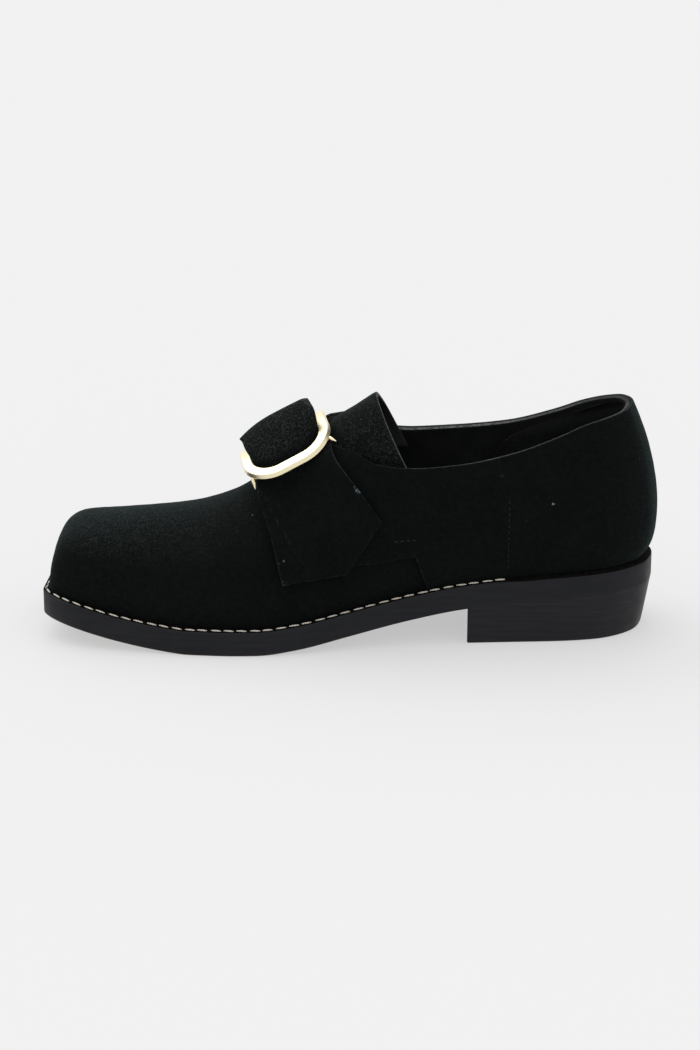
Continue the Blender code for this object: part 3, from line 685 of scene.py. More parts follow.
class Finish:
    """A material under construction: short ways to add the nodes that its Principled shader reads."""

    def __init__(self, name, roughness, **settings):
        self.material = bpy.data.materials.new(name)
        self.material.use_nodes = True
        self.nodes = self.material.node_tree.nodes
        self.links = self.material.node_tree.links
        self.shader = self.nodes["Principled BSDF"]
        self.shader.inputs["Roughness"].default_value = roughness
        for socket, value in settings.items():
            self.shader.inputs[socket.replace("_", " ")].default_value = value
        self.place = self.nodes.new("ShaderNodeTexCoord").outputs["Object"]

    def node(self, kind, output, **sockets):
        """One output of a new node, whose sockets are given a value or another node's output."""
        node = self.nodes.new("ShaderNode" + kind)
        for name, value in sockets.items():
            self.give(node.inputs[name.replace("_", " ")], value)
        return node.outputs[output]

    def give(self, socket, value):
        if isinstance(value, bpy.types.NodeSocket):
            self.links.new(value, socket)
        else:
            socket.default_value = value

    def stretched(self, x, y, z):
        """Object coordinates pulled by these factors, for streaks."""
        return self.node("Mapping", "Vector", Vector=self.place, Scale=(x, y, z))

    def along(self, axis, first, last, start=0.0, end=1.0):
        """start to end between two places along one of the piece's axes, in millimetres."""
        value = self.node("SeparateXYZ", axis, Vector=self.place)
        return self.ramp(value, first * MM, last * MM, start, end)

    def spot(self, middle, radius, ragged):
        """1 near this point of the piece, fading to 0 at a rim that ragged frays. Sizes in millimetres."""
        node = self.nodes.new("ShaderNodeVectorMath")
        node.operation = "DISTANCE"
        self.give(node.inputs[0], self.place)
        self.give(node.inputs[1], tuple(c * MM for c in middle))
        frayed = self.ramp(ragged, 0.3, 0.7, -0.6 * radius * MM, 0.6 * radius * MM)
        return self.ramp(self.math("ADD", node.outputs["Value"], frayed), radius * MM, 0.5 * radius * MM)

    def noise(self, size_mm, detail=2.0, rough=0.5, place=None):
        """Cloudy values from 0 to 1, with patches of about this size."""
        sockets = {"Scale": 1 / (size_mm * MM), "Detail": detail, "Roughness": rough}
        return self.node("TexNoise", "Fac", Vector=place or self.place, **sockets)

    def cells(self, size_mm):
        """Distance from the nearest of scattered points, about this far apart."""
        return self.node("TexVoronoi", "Distance", Vector=self.place, Scale=1 / (size_mm * MM))

    def ramp(self, value, low, high, start=0.0, end=1.0):
        """value from low..high as start..end, held at the ends."""
        limits = {"From_Min": low, "From_Max": high, "To_Min": start, "To_Max": end}
        return self.node("MapRange", "Result", Value=value, **limits)

    def math(self, kind, a, b):
        node = self.nodes.new("ShaderNodeMath")
        node.operation = kind
        self.give(node.inputs[0], a)
        self.give(node.inputs[1], b)
        return node.outputs["Value"]

    def mix(self, factor, a, b):
        """Colour a where factor is 0 and colour b where it is 1."""
        node = self.nodes.new("ShaderNodeMix")
        node.data_type = "RGBA"
        self.give(node.inputs["Factor"], factor)
        for socket, value in zip((node.inputs[6], node.inputs[7]), (a, b)):
            self.give(socket, (*value, 1.0) if isinstance(value, tuple) else value)
        return node.outputs[2]

    def layer(self, name):
        """A value that the piece keeps on its corners."""
        node = self.nodes.new("ShaderNodeAttribute")
        node.attribute_name = name
        return node.outputs["Fac"]

    def colour(self, value):
        self.give(self.shader.inputs["Base Color"], value)

    def rough(self, value):
        self.give(self.shader.inputs["Roughness"], value)

    def bump(self, height, distance_mm, strength=1.0, under=None):
        """Relief of this depth. under is a bump that it lies on."""
        sockets = {"Height": height, "Distance": distance_mm * MM, "Strength": strength}
        if under:
            sockets["Normal"] = under
        normal = self.node("Bump", "Normal", **sockets)
        self.give(self.shader.inputs["Normal"], normal)
        return normal


def suede():
    """Black suede: a short nap whose tone varies in broad patches, with pale flecks of painted sheen most
    where it faces up, with marks and lint.
    """
    f = Finish("black_suede", 0.95, Specular_IOR_Level=0.05, Sheen_Weight=0.06, Sheen_Roughness=0.34)
    f.shader.inputs["Sheen Tint"].default_value = (0.52, 0.95, 0.94, 1.0)
    brushed_nap_and_sheen = f.noise(16.0, 3.0, 0.6)
    mottle = f.noise(2.2, 3.0, 0.65)
    nap = f.noise(0.75, 2.0, 0.75)
    ragged = f.noise(0.8, 1.0)
    tone = f.math("ADD", f.math("MULTIPLY", brushed_nap_and_sheen, 0.35), f.math("MULTIPLY", mottle, 0.65))
    base = f.mix(f.ramp(tone, 0.3, 0.75), (0.002, 0.0023, 0.0022), (0.005, 0.0056, 0.0053))
    # Painted sheen: pale teal flecks of nap where light grazes the suede, on faces that point up (most
    # towards the toe), on the back edge and on the hump and tongue
    towards_toe = f.along("X", -60.0, -110.0, 0.5, 1.0)
    facing_up = f.math("MULTIPLY", f.ramp(f.layer("upward"), 0.55, 1.0, 0.1, 1.0), towards_toe)
    at_the_back = f.along("X", 118.0, 146.0, 0.0, 0.3)
    painted_sheen = f.math("MAXIMUM", f.math("MAXIMUM", facing_up, at_the_back), f.layer("brushed_nap_and_sheen"))
    patchy = f.math("MULTIPLY", painted_sheen, f.ramp(mottle, 0.3, 0.68, 0.45, 1.3))
    sheen_fleck = f.math("MULTIPLY", f.ramp(nap, 0.47, 0.74), patchy)
    tint = f.mix(f.layer("brushed_nap_and_sheen"), (0.03, 0.041, 0.04), (0.04, 0.046, 0.0425))
    sheen_flecked = f.mix(sheen_fleck, base, tint)
    # Paler nap at the cut edges is wear; along the strap's step over the latchet it is a painted highlight
    rubbed_and_highlit = f.math("MULTIPLY", f.ramp(f.layer("edge_wear_and_step_highlight"), 0.6, 1.0), f.ramp(mottle, 0.4, 0.65))
    colour = f.mix(rubbed_and_highlit, sheen_flecked, (0.02, 0.022, 0.022))
    lint = f.math("MULTIPLY", f.ramp(f.cells(17.0), 0.03, 0.012), f.ramp(ragged, 0.4, 0.6))
    colour = f.mix(lint, colour, (0.11, 0.11, 0.1))
    for middle, radius, tint in SUEDE_MARKS:
        colour = f.mix(f.spot(middle, radius, ragged), colour, tint)
    f.colour(colour)
    rise = f.bump(mottle, 0.3, 0.6)
    f.bump(nap, 0.3, 0.9, rise)
    return f.material


def cut_edge(name, dark, light, fade=None):
    """A raw edge of leather in pale and dark tufts. Between two x of fade it darkens on the inner side."""
    f = Finish(name, 0.9, Specular_IOR_Level=0.1)
    fibre = f.noise(0.6, 2.0, 0.6)
    tuft = f.noise(2.4, 2.0, 0.6)
    mixed = f.math("ADD", f.math("MULTIPLY", fibre, 0.5), f.math("MULTIPLY", tuft, 0.5))
    colour = f.mix(f.ramp(mixed, 0.36, 0.66), dark, light)
    if fade:
        behind = f.along("X", *fade, 0.0, 0.75)
        medial = f.along("Y", -20.0, 2.0)
        colour = f.mix(f.math("MULTIPLY", behind, medial), colour, dark)
    f.colour(colour)
    f.bump(fibre, 0.25, 0.8)
    return f.material


def lining():
    """Smooth black lining leather with a fine grain."""
    f = Finish("lining_leather", 0.5, Specular_IOR_Level=0.25)
    grain = f.cells(0.9)
    cloud = f.noise(14.0, 2.0)
    f.colour(f.mix(cloud, (0.0045, 0.0052, 0.005), (0.009, 0.0102, 0.0098)))
    f.rough(f.ramp(cloud, 0.3, 0.7, 0.45, 0.62))
    f.bump(grain, 0.12, 0.35)
    return f.material


def shaded_welt_ledge():
    """The ledge beside the upper: matt, brownish black as painted shade from the upper that stands over it,
    with wax and dust in patches.
    """
    f = Finish("shaded_welt_ledge", 0.85, Specular_IOR_Level=0.05)
    dust = f.noise(2.5, 3.0, 0.65)
    f.colour(f.mix(f.ramp(dust, 0.35, 0.75), (0.0022, 0.002, 0.002), (0.0075, 0.006, 0.0055)))
    f.bump(dust, 0.15, 0.5)
    return f.material


def waxed_leather(name, streaks, dark, light, bump):
    """Dyed and waxed leather with fine level streaks: gives the unfinished material and its colour."""
    f = Finish(name, 0.5, Specular_IOR_Level=0.2)
    size, detail, rough, stretch, start = streaks
    lines = f.noise(size, detail, rough, f.stretched(stretch, stretch, 1.0))
    cloud = f.noise(9.0, 3.0, 0.6)
    f.rough(f.ramp(cloud, 0.3, 0.7, 0.42, 0.6))
    f.bump(lines, *bump)
    return f, f.mix(f.ramp(lines, start, 0.75), dark, light)


def sole_leather():
    """The sole's edge, with a scuffed brown line where the forepart meets the floor."""
    streaks = (1.6, 3.0, 0.6, 0.06, 0.3)
    dark, light = (0.0047, 0.0051, 0.0074), (0.0093, 0.0099, 0.0134)
    f, base = waxed_leather("sole_leather", streaks, dark, light, (0.12, 0.25))
    low = f.math("ADD", f.layer("up"), f.ramp(f.noise(3.0, 3.0, 0.7), 0.3, 0.7, -0.04, 0.04))
    scuffed = f.math("MULTIPLY", f.ramp(low, 0.085, 0.03), f.along("X", 12.0, -12.0))
    f.colour(f.mix(scuffed, base, (0.06, 0.038, 0.03)))
    return f.material


def heel_leather():
    """The stacked heel: as the sole's edge, with faint streaks that follow the lifts."""
    streaks = (1.1, 4.0, 0.65, 0.03, 0.35)
    dark, light = (0.0062, 0.0064, 0.0081), (0.0134, 0.0136, 0.0158)
    f, base = waxed_leather("heel_leather", streaks, dark, light, (0.15, 0.3))
    f.colour(base)
    return f.material


def brass():
    """Pale brass with a satin brush."""
    f = Finish("satin_brass", 0.3, Metallic=1.0)
    cloud = f.noise(6.0, 2.0)
    fine = f.noise(0.4, 2.0, 0.6)
    f.colour(f.mix(cloud, (0.92, 0.81, 0.52), (0.96, 0.87, 0.62)))
    f.rough(f.ramp(fine, 0.3, 0.7, 0.26, 0.38))
    f.bump(fine, 0.05, 0.3)
    return f.material


def thread(name, light, dark):
    """Waxed thread: two plies show as slanting ridges."""
    f = Finish(name, 0.65, Specular_IOR_Level=0.3)
    plies = f.node("TexWave", "Fac", Vector=f.place, Scale=420.0, Distortion=2.0)
    f.colour(f.mix(plies, dark, light))
    f.bump(plies, 0.15, 0.5)
    return f.material


# Pieces of the upper


def upper_rise(point, share):
    """How far the upper's leather stands out from its smooth shape at a point, this share of the way up."""
    return unevenness(point, UPPER_WAVES) * min(1.0, share / CALM_SHARE)


def tucked(share, tuck, tuck_share):
    """How far leather draws in near the welt."""
    return tuck * max(0.0, 1 - share / tuck_share) ** 2


def upper_shell(outside, inside, edge, dark_edge):
    """Vamp and lining in one wall, from the feather line over the foot to the collar."""
    shares = np.linspace(0.0, 1.0, 49)
    last = len(shares) - 1

    def place(i, j):
        side = LATERAL if j <= last else MEDIAL
        share = shares[j] if j <= last else shares[2 * last - j + 1]
        point = upper_point(ROWS[i], share, side)
        lift = upper_rise(point, share) - tucked(share, UPPER_TUCK, UPPER_TUCK_SHARE)
        return point + upper_normal(ROWS[i], share, side) * lift if 0 < i else point

    bm = placed_grid(len(ROWS) - 1, 2 * last + 1, place, keep=lambda i, j: j != last)
    finishes = (outside, inside, edge, outside, inside, dark_edge)
    for face in bm.faces:
        middle = face.calc_center_median()
        if middle.y > 0 and middle.x < DARK_RIM_X * MM:
            face.material_index = 3
    leather_sheet("upper_suede", bm, finishes, "upper", WALL, rounded=0.35)


def quarter(node, side, finishes):
    """The quarter over one side of the upper, with the latchet that runs forward under the strap."""
    edge_rows, low_edge, high_edge = zip(*LATCHET_EDGES)
    ahead, behind, below, above = 44, 76, 14, 40
    # It stops just short of the back seam and of the welt
    last_row, first_share = BACK_ROW - 0.012, 0.012

    def place_at(i, j):
        across = (j - below) / above
        if i < ahead:
            guess = 0.25 + 0.75 * max(across, 0.0)
            start = monotone_cubic(*zip(*LATCHET_FRONT), guess)
            row = start + (row_at_x(QUARTER_FRONT_X) - start) * i / ahead
        else:
            start = row_at_x(QUARTER_FRONT_X + QUARTER_FRONT_SLANT * max(0.0, 1 - j / below))
            row = start + (last_row - start) * (i - ahead) / behind
        low = monotone_cubic(edge_rows, low_edge, row)
        high = monotone_cubic(edge_rows, high_edge, row)
        share = low * max(first_share, j / below) if j <= below else low + (high - low) * across
        return row, share

    def place(i, j):
        row, share = place_at(i, j)
        point = upper_point(row, share, side)
        lift = SEAM + QUARTER_THICKNESS + unevenness(point, QUARTER_WAVES)
        lift -= tucked(share, QUARTER_TUCK, QUARTER_TUCK_SHARE)
        return point + upper_normal(row, share, side) * lift

    def keep(i, j):
        return i >= ahead or j >= below

    def edge_wear_and_step_highlight(i, j):
        front = i == 0 or (i == ahead and j <= below)
        return 1.0 if front or (j == below and i <= ahead) or j == below + above else 0.0

    bm = placed_grid(ahead + behind, below + above, place, keep, layers=(("edge_wear_and_step_highlight", edge_wear_and_step_highlight),))
    if side == MEDIAL:
        bmesh.ops.reverse_faces(bm, faces=bm.faces)
    leather_sheet(f"{node}_suede", bm, finishes, node, QUARTER_THICKNESS, rounded=0.4)


def heel_grip(inside, edge):
    """A second layer of lining round the inside of the heel, with a curved front edge."""
    along, across = 60, 24
    lowest, highest = GRIP_EDGES

    def place(i, j, proud):
        """A point of the grip, proud of the lining by this share of its thickness."""
        share = lowest + (highest - lowest) * j / across
        start = monotone_cubic(*zip(*GRIP_FRONT), share)
        row = start + 2 * (BACK_ROW - start) * i / along
        side = LATERAL if row <= BACK_ROW else MEDIAL
        row = row if row <= BACK_ROW else 2 * BACK_ROW - row
        pared = 1 - GRIP_PARED * held_share(share, *GRIP_PARED_SHARES)
        point = upper_point(row, share, side)
        lift = upper_rise(point, share) - WALL - GRIP_THICKNESS * pared * proud
        return point + upper_normal(row, share, side) * lift

    bm = placed_solid(along, across, lambda i, j: place(i, j, -GRIP_SUNK), lambda i, j: place(i, j, 1.0))
    up = bm.verts.layers.float["up"]
    for face in bm.faces:
        face.material_index = 1 if len({round(v[up]) for v in face.verts}) == 2 else 0
    piece("heel_grip", bm, "lining_leather", inside, edge)


def tongue(finishes):
    """The tongue, an arched sheet from under the vamp to its free end above the instep."""
    along, across, corner = 44, 48, 3
    stations = range(len(TONGUE))

    def place(i, j):
        row = TongueRow(*(monotone_cubic(stations, c, (len(TONGUE) - 1) * i / along) for c in zip(*TONGUE)))
        a = math.radians((TONGUE_ARCH + TONGUE_WRAP * i / along) * (2 * j / across - 1))
        fall = 1 - math.cos(a)
        drop = row.drop_lateral if a < 0 else row.drop_medial
        point = np.array([row.x + row.lean * fall, row.half * math.sin(a), row.z - drop * fall])
        rounded = TONGUE_CORNER * held_share(i, along - corner, along) ** 2
        return point + np.array([0.0, 0.0, unevenness(point, TONGUE_WAVES) - rounded])

    def edge_wear_and_step_highlight(i, j):
        return 1.0 if i == along or j in (0, across) else 0.0

    # The tongue's nap carries painted sheen all over, as pale flecks
    layers = (("edge_wear_and_step_highlight", edge_wear_and_step_highlight), ("brushed_nap_and_sheen", lambda i, j: TONGUE_SHEEN))
    bm = placed_grid(along, across, place, layers=layers)
    leather_sheet("tongue_suede", bm, finishes, "tongue", TONGUE_THICKNESS, rounded=0.5)


def lying(row, w, side):
    """A point of the strap where it lies on the upper, at share w from its front to its rear edge."""
    x = row.front_x + (row.rear_x - row.front_x) * w
    z = row.front_z + (row.rear_z - row.front_z) * w
    return side_point(x, z, side, row.lift + STRAP_THICKNESS)


def hump(row, w):
    """A point of the strap where it stands in the buckle, at share w from its front to its rear edge."""
    along = row.front_along + (row.rear_along - row.front_along) * w
    edge = (row.front_across, row.front_height) if w < 0.5 else (row.rear_across, row.rear_height)
    to_edge = abs(2 * w - 1) ** row.bend
    out = row.middle_across + (edge[0] - row.middle_across) * to_edge
    height = row.middle_height + (edge[1] - row.middle_height) * to_edge
    height -= HUMP_CORNER * held_share(w, HUMP_CORNER_SHARE, 1.0) ** 2
    return on_slope(along, out, height)


def strap_lines(across):
    """The strap's outer face as lines from above its cut end to its medial end, for each step across."""
    lines = []
    for w in (j / across for j in range(across + 1)):
        line = [lying(row, w, LATERAL) for row in reversed(STRAP_LATERAL[:-1])]
        line += [hump(row, w) for row in HUMP]
        line += [lying(row, w, MEDIAL) for row in STRAP_MEDIAL]
        lines.append(np.array(line))
    return lines


def step_distance(point):
    """How far a point of the strap's outer side lies behind the latchet's front edge, along the foot."""
    (top_x, top_z), (low_x, low_z) = STRAP_STEP
    if point[1] > 0 or not low_z - STRAP_STEP_BELOW < point[2] < top_z + STRAP_STEP_ABOVE:
        return -math.inf
    return point[0] - top_x - (point[2] - top_z) * (low_x - top_x) / (low_z - top_z)


def strap_step(point):
    """Height of the faint step over the latchet's front edge, at a point of the strap's outer side."""
    (_, top_z), (_, low_z) = STRAP_STEP
    end_z = top_z + STRAP_STEP_ABOVE
    share = held_share(step_distance(point), -STRAP_STEP_WIDTH / 2, STRAP_STEP_WIDTH / 2)
    fade = held_share(point[2], low_z - STRAP_STEP_BELOW, low_z)
    fade *= held_share(point[2], end_z, end_z - STRAP_STEP_FADE)
    return STRAP_STEP_HEIGHT * share * share * (3 - 2 * share) * fade


def strap(finishes):
    """The strap over the instep, through the buckle and down to its cut end on the outer side."""
    across, cut, fine = 40, 16, 7
    lines = strap_lines(across)
    last = fine * (len(lines[0]) - 1)

    def sheet(i, j):
        if i >= cut:
            return smooth_line(lines[j], (i - cut) / fine)
        low, high = STRAP_LATERAL[-1], STRAP_LATERAL[-2]
        return lying(StrapRow(*(a + (b - a) * i / cut for a, b in zip(low, high))), j / across, LATERAL)

    def place(i, j):
        point = np.array(sheet(i, j))
        rise = unevenness(point, STRAP_WAVES) + strap_step(point)
        out = -STRAP_WAVE_OUT if point[1] < 0 else STRAP_WAVE_OUT
        return point + np.array([0.0, out * rise, STRAP_WAVE_UP * rise])

    def edge_wear_and_step_highlight(i, j):
        if i == 0 or j in (0, across):
            return 1.0
        # Along the step the paler nap is a painted highlight on its edge
        return max(0.0, 1 - abs(step_distance(sheet(i, j))) / STRAP_STEP_HIGHLIGHT)

    def brushed_nap_and_sheen(i, j):
        """Painted sheen on the hump, which stands above the buckle: pale flecks of nap where light grazes
        it.
        """
        row = (i - cut) / fine - len(STRAP_LATERAL) + 1
        return min(1.0, max(0.0, min(row - HUMP_SHEEN_ROWS[0], HUMP_SHEEN_ROWS[1] - row)))

    bm = placed_grid(cut + last, across, place, layers=(("edge_wear_and_step_highlight", edge_wear_and_step_highlight), ("brushed_nap_and_sheen", brushed_nap_and_sheen)))
    bmesh.ops.reverse_faces(bm, faces=bm.faces)
    leather_sheet("strap_suede", bm, finishes, "latchet_strap", STRAP_THICKNESS, rounded=0.4, even=False)


# The buckle


def frame_path(turn):
    """A point of the rounded rectangle along the middle of the buckle's bar, turn from 0 to 1 round it."""
    arc = BUCKLE_CORNER * math.pi / 2
    inner = np.array([BUCKLE_HALF_LENGTH, BUCKLE_HALF_SPAN]) - BUCKLE_CORNER
    way = (turn % 1.0) * 4 * (inner.sum() + arc)
    for n, (sign, start) in enumerate((((1, -1), 270), ((1, 1), 0), ((-1, 1), 90), ((-1, -1), 180))):
        straight = 2 * inner[(n + 1) % 2]
        angle = math.radians(start + 90 * min(1.0, way / arc))
        out = np.array([math.cos(angle), math.sin(angle)])
        point = inner * sign + BUCKLE_CORNER * out
        if way <= arc + straight:
            return point + np.array([-out[1], out[0]]) * max(0.0, way - arc)
        way -= arc + straight
    return point


def buckle_frame(metal):
    """The buckle's frame: a bar with a flat top and a slanted outer side, bent round and arched."""
    steps = 168
    ahead = 1e-3

    def place(i, j):
        turn = i / steps
        out, rise = BUCKLE_BAR[j % len(BUCKLE_BAR)]
        along, across = frame_path(turn)
        tangent = frame_path(turn + ahead) - np.array([along, across])
        tangent /= np.linalg.norm(tangent)
        along, across = along + tangent[1] * out, across - tangent[0] * out
        angle = across / BUCKLE_ARCH_RADIUS
        radius = BUCKLE_ARCH_RADIUS + rise
        return on_slope(along, radius * math.sin(angle), radius * math.cos(angle) - BUCKLE_ARCH_RADIUS)

    bm = placed_grid(steps, len(BUCKLE_BAR), place)
    bmesh.ops.recalc_face_normals(bm, faces=bm.faces)
    piece("buckle_frame_brass", bm, "satin_brass", metal, replaces="buckle_frame", crease=24)


def buckle_leg(name, metal):
    """One of the tapered legs whose ends show beside the strap: a spike with a rounded tip."""
    root, tip = (Vector(on_slope(*end)) * MM for end in LEGS[name])
    bm = bmesh.new()
    bmesh.ops.create_circle(bm, cap_ends=True, segments=14, radius=LEG_RADIUS * MM)
    direction = tip - root
    turned = direction.to_track_quat("Z", "Y").to_matrix().to_4x4()
    faces = bm.faces[:]
    for share, radius in LEG_TAPER:
        made = bmesh.ops.extrude_face_region(bm, geom=faces)
        ring = [e for e in made["geom"] if isinstance(e, bmesh.types.BMVert)]
        faces = [e for e in made["geom"] if isinstance(e, bmesh.types.BMFace)]
        for v in ring:
            flat = Vector((v.co.x, v.co.y, 0.0)).normalized() * radius * MM
            v.co = Vector((flat.x, flat.y, direction.length * share))
    bmesh.ops.recalc_face_normals(bm, faces=bm.faces)
    bmesh.ops.transform(bm, matrix=Matrix.Translation(root) @ turned, verts=bm.verts)
    piece(name + "_brass", bm, "satin_brass", metal, replaces=name)


# The sole


def sole_layer(node, margin, underside, thickness, slot, material):
    """A full-length layer of the sole between the two sides of the feather loop, following its profile."""
    loop = feather_loop(margin)
    last = len(ROWS) - 1
    front = np.vstack([loop[:1], loop[: 2 * last - 1 : -1]])
    across = len(front) - 1

    def plan(i, j):
        if i == 0:
            return front[j]
        return loop[i] + (loop[2 * last - i] - loop[i]) * j / across

    def low(i, j):
        x, y = plan(i, j)
        return x, y, underside(float(x))

    def high(i, j):
        x, y = plan(i, j)
        return x, y, underside(float(x)) + thickness

    bm = placed_solid(last, across, low, high)
    up = bm.verts.layers.float["up"]
    if node == "outsole":
        round_rim(bm, OUTSOLE_RIM, lambda v: v[up] == 0 and v.co.x < OUTSOLE_RIM_END_X * MM)
    else:
        round_rim(bm, INSOLE_RIM, lambda v: v[up] == 1)
    piece(f"{node}_leather", bm, slot, material, replaces=node, crease=25)


def welt(material, ledge):
    """The strip between upper and outsole, all the way round, which carries the stitched ledge."""
    loops = [feather_loop(margin) for margin in (WELT_MARGIN, 0.0, -WELT_TUCK)]
    count = len(loops[0])

    def low(i, j):
        x, y = loops[j][i % count]
        return x, y, welt_underside(float(x))

    def high(i, j):
        x, y, z = low(i, j)
        fall = WELT_SLOPE * held_share(x, *WELT_SLOPE_X) if j == 0 else 0.0
        return x, y, z + WELT_THICKNESS - fall

    bm = placed_solid(count, 2, low, high)
    up = bm.verts.layers.float["up"]
    round_rim(bm, WELT_RIM, lambda v: v[up] == 1)
    for v in bm.verts:
        v[up] = 1.0
    bm.normal_update()
    # Faces that point up are the ledge, dark with painted shade from the upper above it
    for face in bm.faces:
        face.material_index = 1 if face.normal.z > LEDGE_FACES_UP else 0
    piece("welt_leather", bm, "sole_leather", material, ledge, replaces="welt")


def heel_level(n, x):
    """Underside of the heel's layer n at x: 0 is the top piece, and the lifts follow up to the outsole."""
    if n == 0:
        return 0.0
    return TOP_PIECE_THICKNESS + (sole_underside(x) - TOP_PIECE_THICKNESS) * ((n - 1) / HEEL_LIFTS)


def heel_layer(name, n, material, node):
    """One layer of the heel, behind the breast, whose sides taper in towards the floor."""
    last = len(ROWS) - 1
    across = 12

    def taper(x, share):
        """How far the side stands in from the welt's edge, this share of the way down to the floor."""
        back = held_share(x, HEEL_BREAST_X, HEEL_CENTRE_X + HEEL_BASE_LENGTH)
        return share * (HEEL_TAPER_SIDE + (HEEL_TAPER_BACK - HEEL_TAPER_SIDE) * back**2)

    @lru_cache(maxsize=None)
    def outline(share):
        edge, step_in = feather_loop(WELT_MARGIN), feather_loop(WELT_MARGIN - 1.0)
        down = np.array([taper(x, share) for x in edge[:, 0]])[:, None]
        loop = edge + (step_in - edge) * down
        pairs = [(loop[i], loop[2 * last - i]) for i in range(last + 1)]
        behind = [pair for pair, spot in zip(pairs, edge) if spot[0] > HEEL_BREAST_X + HEEL_BREAST_ROOM]
        sides = (loop[:last], loop[:last:-1][:last])
        breast = tuple(np.array([HEEL_BREAST_X, np.interp(HEEL_BREAST_X, *side.T)]) for side in sides)
        return [breast] + behind

    def place(level, i, j):
        share = 1 - heel_level(level, HEEL_CENTRE_X) / sole_underside(HEEL_CENTRE_X)
        a, b = outline(round(share, 4))[i]
        x, y = a + (b - a) * j / across
        x += HEEL_BREAST_CURVE * (1 - (2 * j / across - 1) ** 2) if i == 0 else 0
        return x, y, heel_level(level, float(x))

    along = len(outline(0.0)) - 1
    bm = placed_solid(along, across, lambda i, j: place(n, i, j), lambda i, j: place(n + 1, i, j))
    if n == 0:
        round_rim(bm, TOP_PIECE_RIM, lambda v: v.co.z < 10 * WELD_M)
    obj = piece(name, bm, "sole_leather", material, replaces=node)
    soften(obj, LIFT_RIM, segments=1)


def heel(material):
    """The top piece that stands on the floor and the stacked lifts above it."""
    heel_layer("heel_top_leather", 0, material, "heel_top_piece")
    for n in range(1, HEEL_LIFTS + 1):
        heel_layer(f"heel_stack_{n}", n, material, f"heel_lift_{n}")


# Thread


def stitches(name, places, stitch, slot, material):
    """One joined mesh of stitches: each of places is (middle, direction along, direction up)."""
    half = (stitch.length / 2 * MM, stitch.thickness / 2 * MM, stitch.thickness / 2 * MM)
    quarter_turn = Matrix.Rotation(math.radians(90), 4, "Y")
    bm = bmesh.new()
    for middle, along, up in places:
        along, up = Vector(along).normalized(), Vector(up).normalized()
        side = up.cross(along).normalized()
        up = along.cross(side)
        turned = Matrix((along, side, up)).transposed().to_4x4()
        matrix = Matrix.Translation(Vector(middle) * MM) @ turned @ Matrix.Diagonal((*half, 1.0))
        bmesh.ops.create_uvsphere(bm, u_segments=8, v_segments=6, radius=1.0, matrix=matrix @ quarter_turn)
    piece(name, bm, slot, material)


def welt_stitches(material):
    """The cream stitches on the welt's ledge, round the toe and along both sides to the heel's front."""
    loop = feather_loop(WELT_STITCH_MARGIN)
    last = len(ROWS) - 1
    line = np.vstack([loop[last + 1 :], loop[: last + 1]])
    line = line[line[:, 0] < WELT_STITCH_END_X]
    start = int(np.argmax(line[:, 0]))
    line = np.roll(line, -start, 0) if line[start, 1] > 0 else line
    ways = travelled(line)

    def at(way):
        x, y = (np.interp(way, ways, line[:, k]) for k in range(2))
        return np.array([x, y, feather_height(float(x)) + WELT_STITCH.proud])

    places = []
    near = 1.5
    count = int(ways[-1] / WELT_STITCH.pitch)
    slant = Matrix.Rotation(math.radians(-WELT_STITCH_SLANT), 3, "Z")
    for n in range(count):
        way = (n + 0.5) * ways[-1] / count + WELT_STITCH_STRAY * math.sin(n * 2.4)
        along = slant @ Vector(at(way + near) - at(way - near))
        places.append((at(way), along, (0.0, 0.0, 1.0)))
    stitches("welt_stitches", places, WELT_STITCH, "sole_leather", material)


def seam_stitches(name, line, side, material):
    """Fine stitches on a quarter, along a line of (row, share)."""
    lift = SEAM + QUARTER_THICKNESS + SEAM_STITCH.proud
    ways = travelled(np.array([upper_lift(row, share, side, lift) for row, share in line]))

    def at(way):
        return [np.interp(way, ways, column) for column in zip(*line)]

    places = []
    near = 0.5
    for n in range(int(ways[-1] / SEAM_STITCH.pitch)):
        way = (n + 0.5) * SEAM_STITCH.pitch
        point = upper_lift(*at(way), side, lift)
        along = upper_lift(*at(way + near), side, lift) - point
        places.append((point, along, upper_normal(*at(way), side)))
    stitches(name, places, SEAM_STITCH, "black_suede", material)


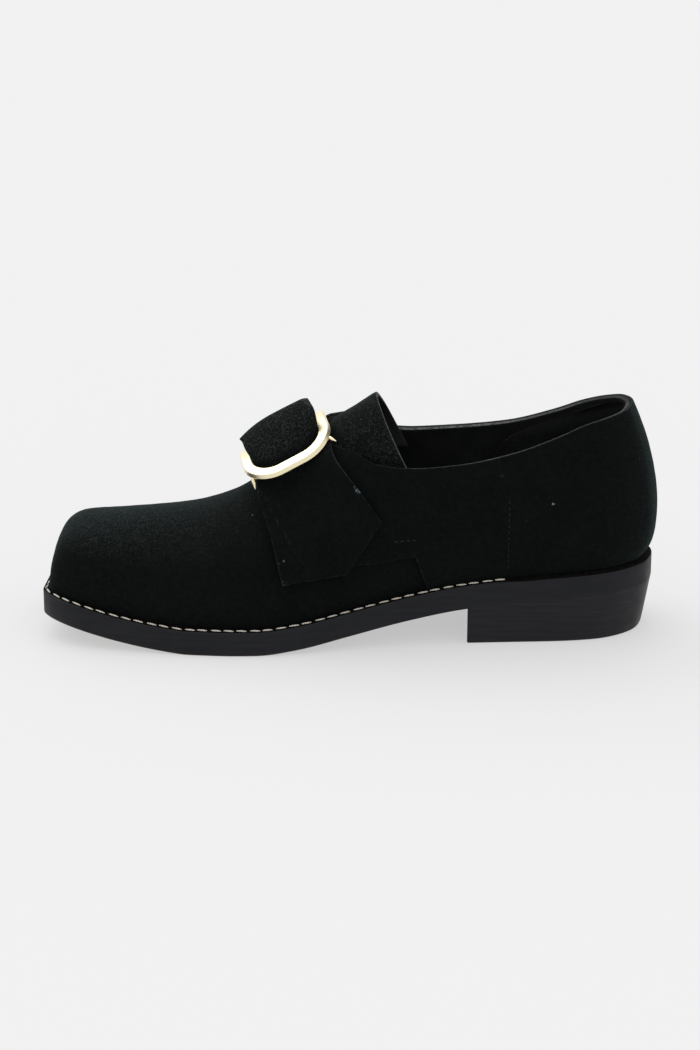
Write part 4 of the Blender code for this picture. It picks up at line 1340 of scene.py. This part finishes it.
def shoe():
    black = suede()
    edge = cut_edge("suede_cut_edge", (0.006, 0.007, 0.007), (0.026, 0.029, 0.0295))
    pale_edge = cut_edge("tongue_cut_edge", (0.03, 0.032, 0.032), (0.115, 0.12, 0.118))
    lining_edge = cut_edge("lining_cut_edge", (0.016, 0.0175, 0.0175), (0.125, 0.13, 0.126), RIM_FADE)
    grip_edge = cut_edge("grip_cut_edge", (0.015, 0.012, 0.0115), (0.034, 0.027, 0.025))
    inside = lining()
    sole = sole_leather()
    ledge = shaded_welt_ledge()
    stack = heel_leather()
    metal = brass()
    cream = thread("cream_thread", (0.78, 0.74, 0.66), (0.4, 0.34, 0.28))
    grey = thread("grey_thread", (0.022, 0.0255, 0.026), (0.008, 0.0095, 0.0095))
    dark = thread("dark_thread", (0.008, 0.0085, 0.0085), (0.003, 0.0032, 0.0034))

    sides = (("lateral", LATERAL), ("medial", MEDIAL))
    upper_shell(black, inside, lining_edge, edge)
    for word, side in sides:
        quarter(f"quarter_{word}", side, (black, inside, edge))
    heel_grip(inside, grip_edge)
    tongue((black, inside, pale_edge))
    strap((black, inside, edge))
    buckle_frame(metal)
    for name in LEGS:
        buckle_leg(name, metal)
    sole_layer("outsole", WELT_MARGIN, sole_underside, OUTSOLE_THICKNESS, "sole_leather", sole)
    welt(sole, ledge)
    heel(stack)
    margin = -WALL - INSOLE_ROOM
    sole_layer("insole", margin, feather_height, INSOLE_THICKNESS, "lining_leather", inside)
    welt_stitches(cream)
    edge_rows, low_edge, _ = zip(*LATCHET_EDGES)
    low = [monotone_cubic(edge_rows, low_edge, row) for row in LATCHET_STITCH_ROWS]
    short_row = [(row, share + LATCHET_STITCH_ABOVE) for row, share in zip(LATCHET_STITCH_ROWS, low)]
    column = [(QUARTER_STITCH_ROW, share) for share in np.linspace(*QUARTER_STITCH_SHARES, 24)]
    for word, side in sides:
        seam_stitches(f"latchet_stitches_{word}", short_row, side, grey)
        seam_stitches(f"quarter_stitches_{word}", column, side, dark)


def studio():
    """A pale floor that glows a little, even light from all round and one broad soft lamp from behind."""
    scene = bpy.context.scene
    scene.view_settings.view_transform = "Standard"
    bm = bmesh.new()
    bmesh.ops.create_grid(bm, x_segments=1, y_segments=1, size=FLOOR_HALF_M)
    mesh = bpy.data.meshes.new("floor")
    bm.to_mesh(mesh)
    bm.free()
    floor = bpy.data.objects.new("floor", mesh)
    scene.collection.objects.link(floor)
    white = (1.0, 1.0, 1.0, 1.0)
    glow = {"Emission_Color": white, "Emission_Strength": FLOOR_GLOW}
    pale = Finish("pale_floor", 1.0, Base_Color=(*[FLOOR_SHADE] * 3, 1.0), Specular_IOR_Level=0.0, **glow)
    mesh.materials.append(pale.material)

    world = bpy.data.worlds.new("studio")
    scene.world = world
    world.use_nodes = True
    background = world.node_tree.nodes["Background"]
    background.inputs["Color"].default_value = white
    background.inputs["Strength"].default_value = ROOM_LIGHT

    lamp = bpy.data.lights.new("lamp_behind", "SUN")
    lamp.energy = LAMP_STRENGTH
    lamp.angle = math.radians(LAMP_SPREAD)
    lamp_object = bpy.data.objects.new("lamp_behind", lamp)
    lamp_object.rotation_euler = Vector(LAMP_DIRECTION).to_track_quat("-Z", "Y").to_euler()
    scene.collection.objects.link(lamp_object)


def camera():
    data = bpy.data.cameras.new("camera")
    data.lens = CAMERA_LENS
    data.clip_start = 0.01
    obj = bpy.data.objects.new("camera", data)
    angle = math.radians(CAMERA_ELEVATION)
    target = Vector(CAMERA_TARGET) * MM
    obj.location = target + Vector((0.0, -math.cos(angle), math.sin(angle))) * CAMERA_DISTANCE * MM
    obj.rotation_euler = (target - obj.location).to_track_quat("-Z", "Y").to_euler()
    bpy.context.scene.collection.objects.link(obj)
    bpy.context.scene.camera = obj


shoe()
studio()
camera()
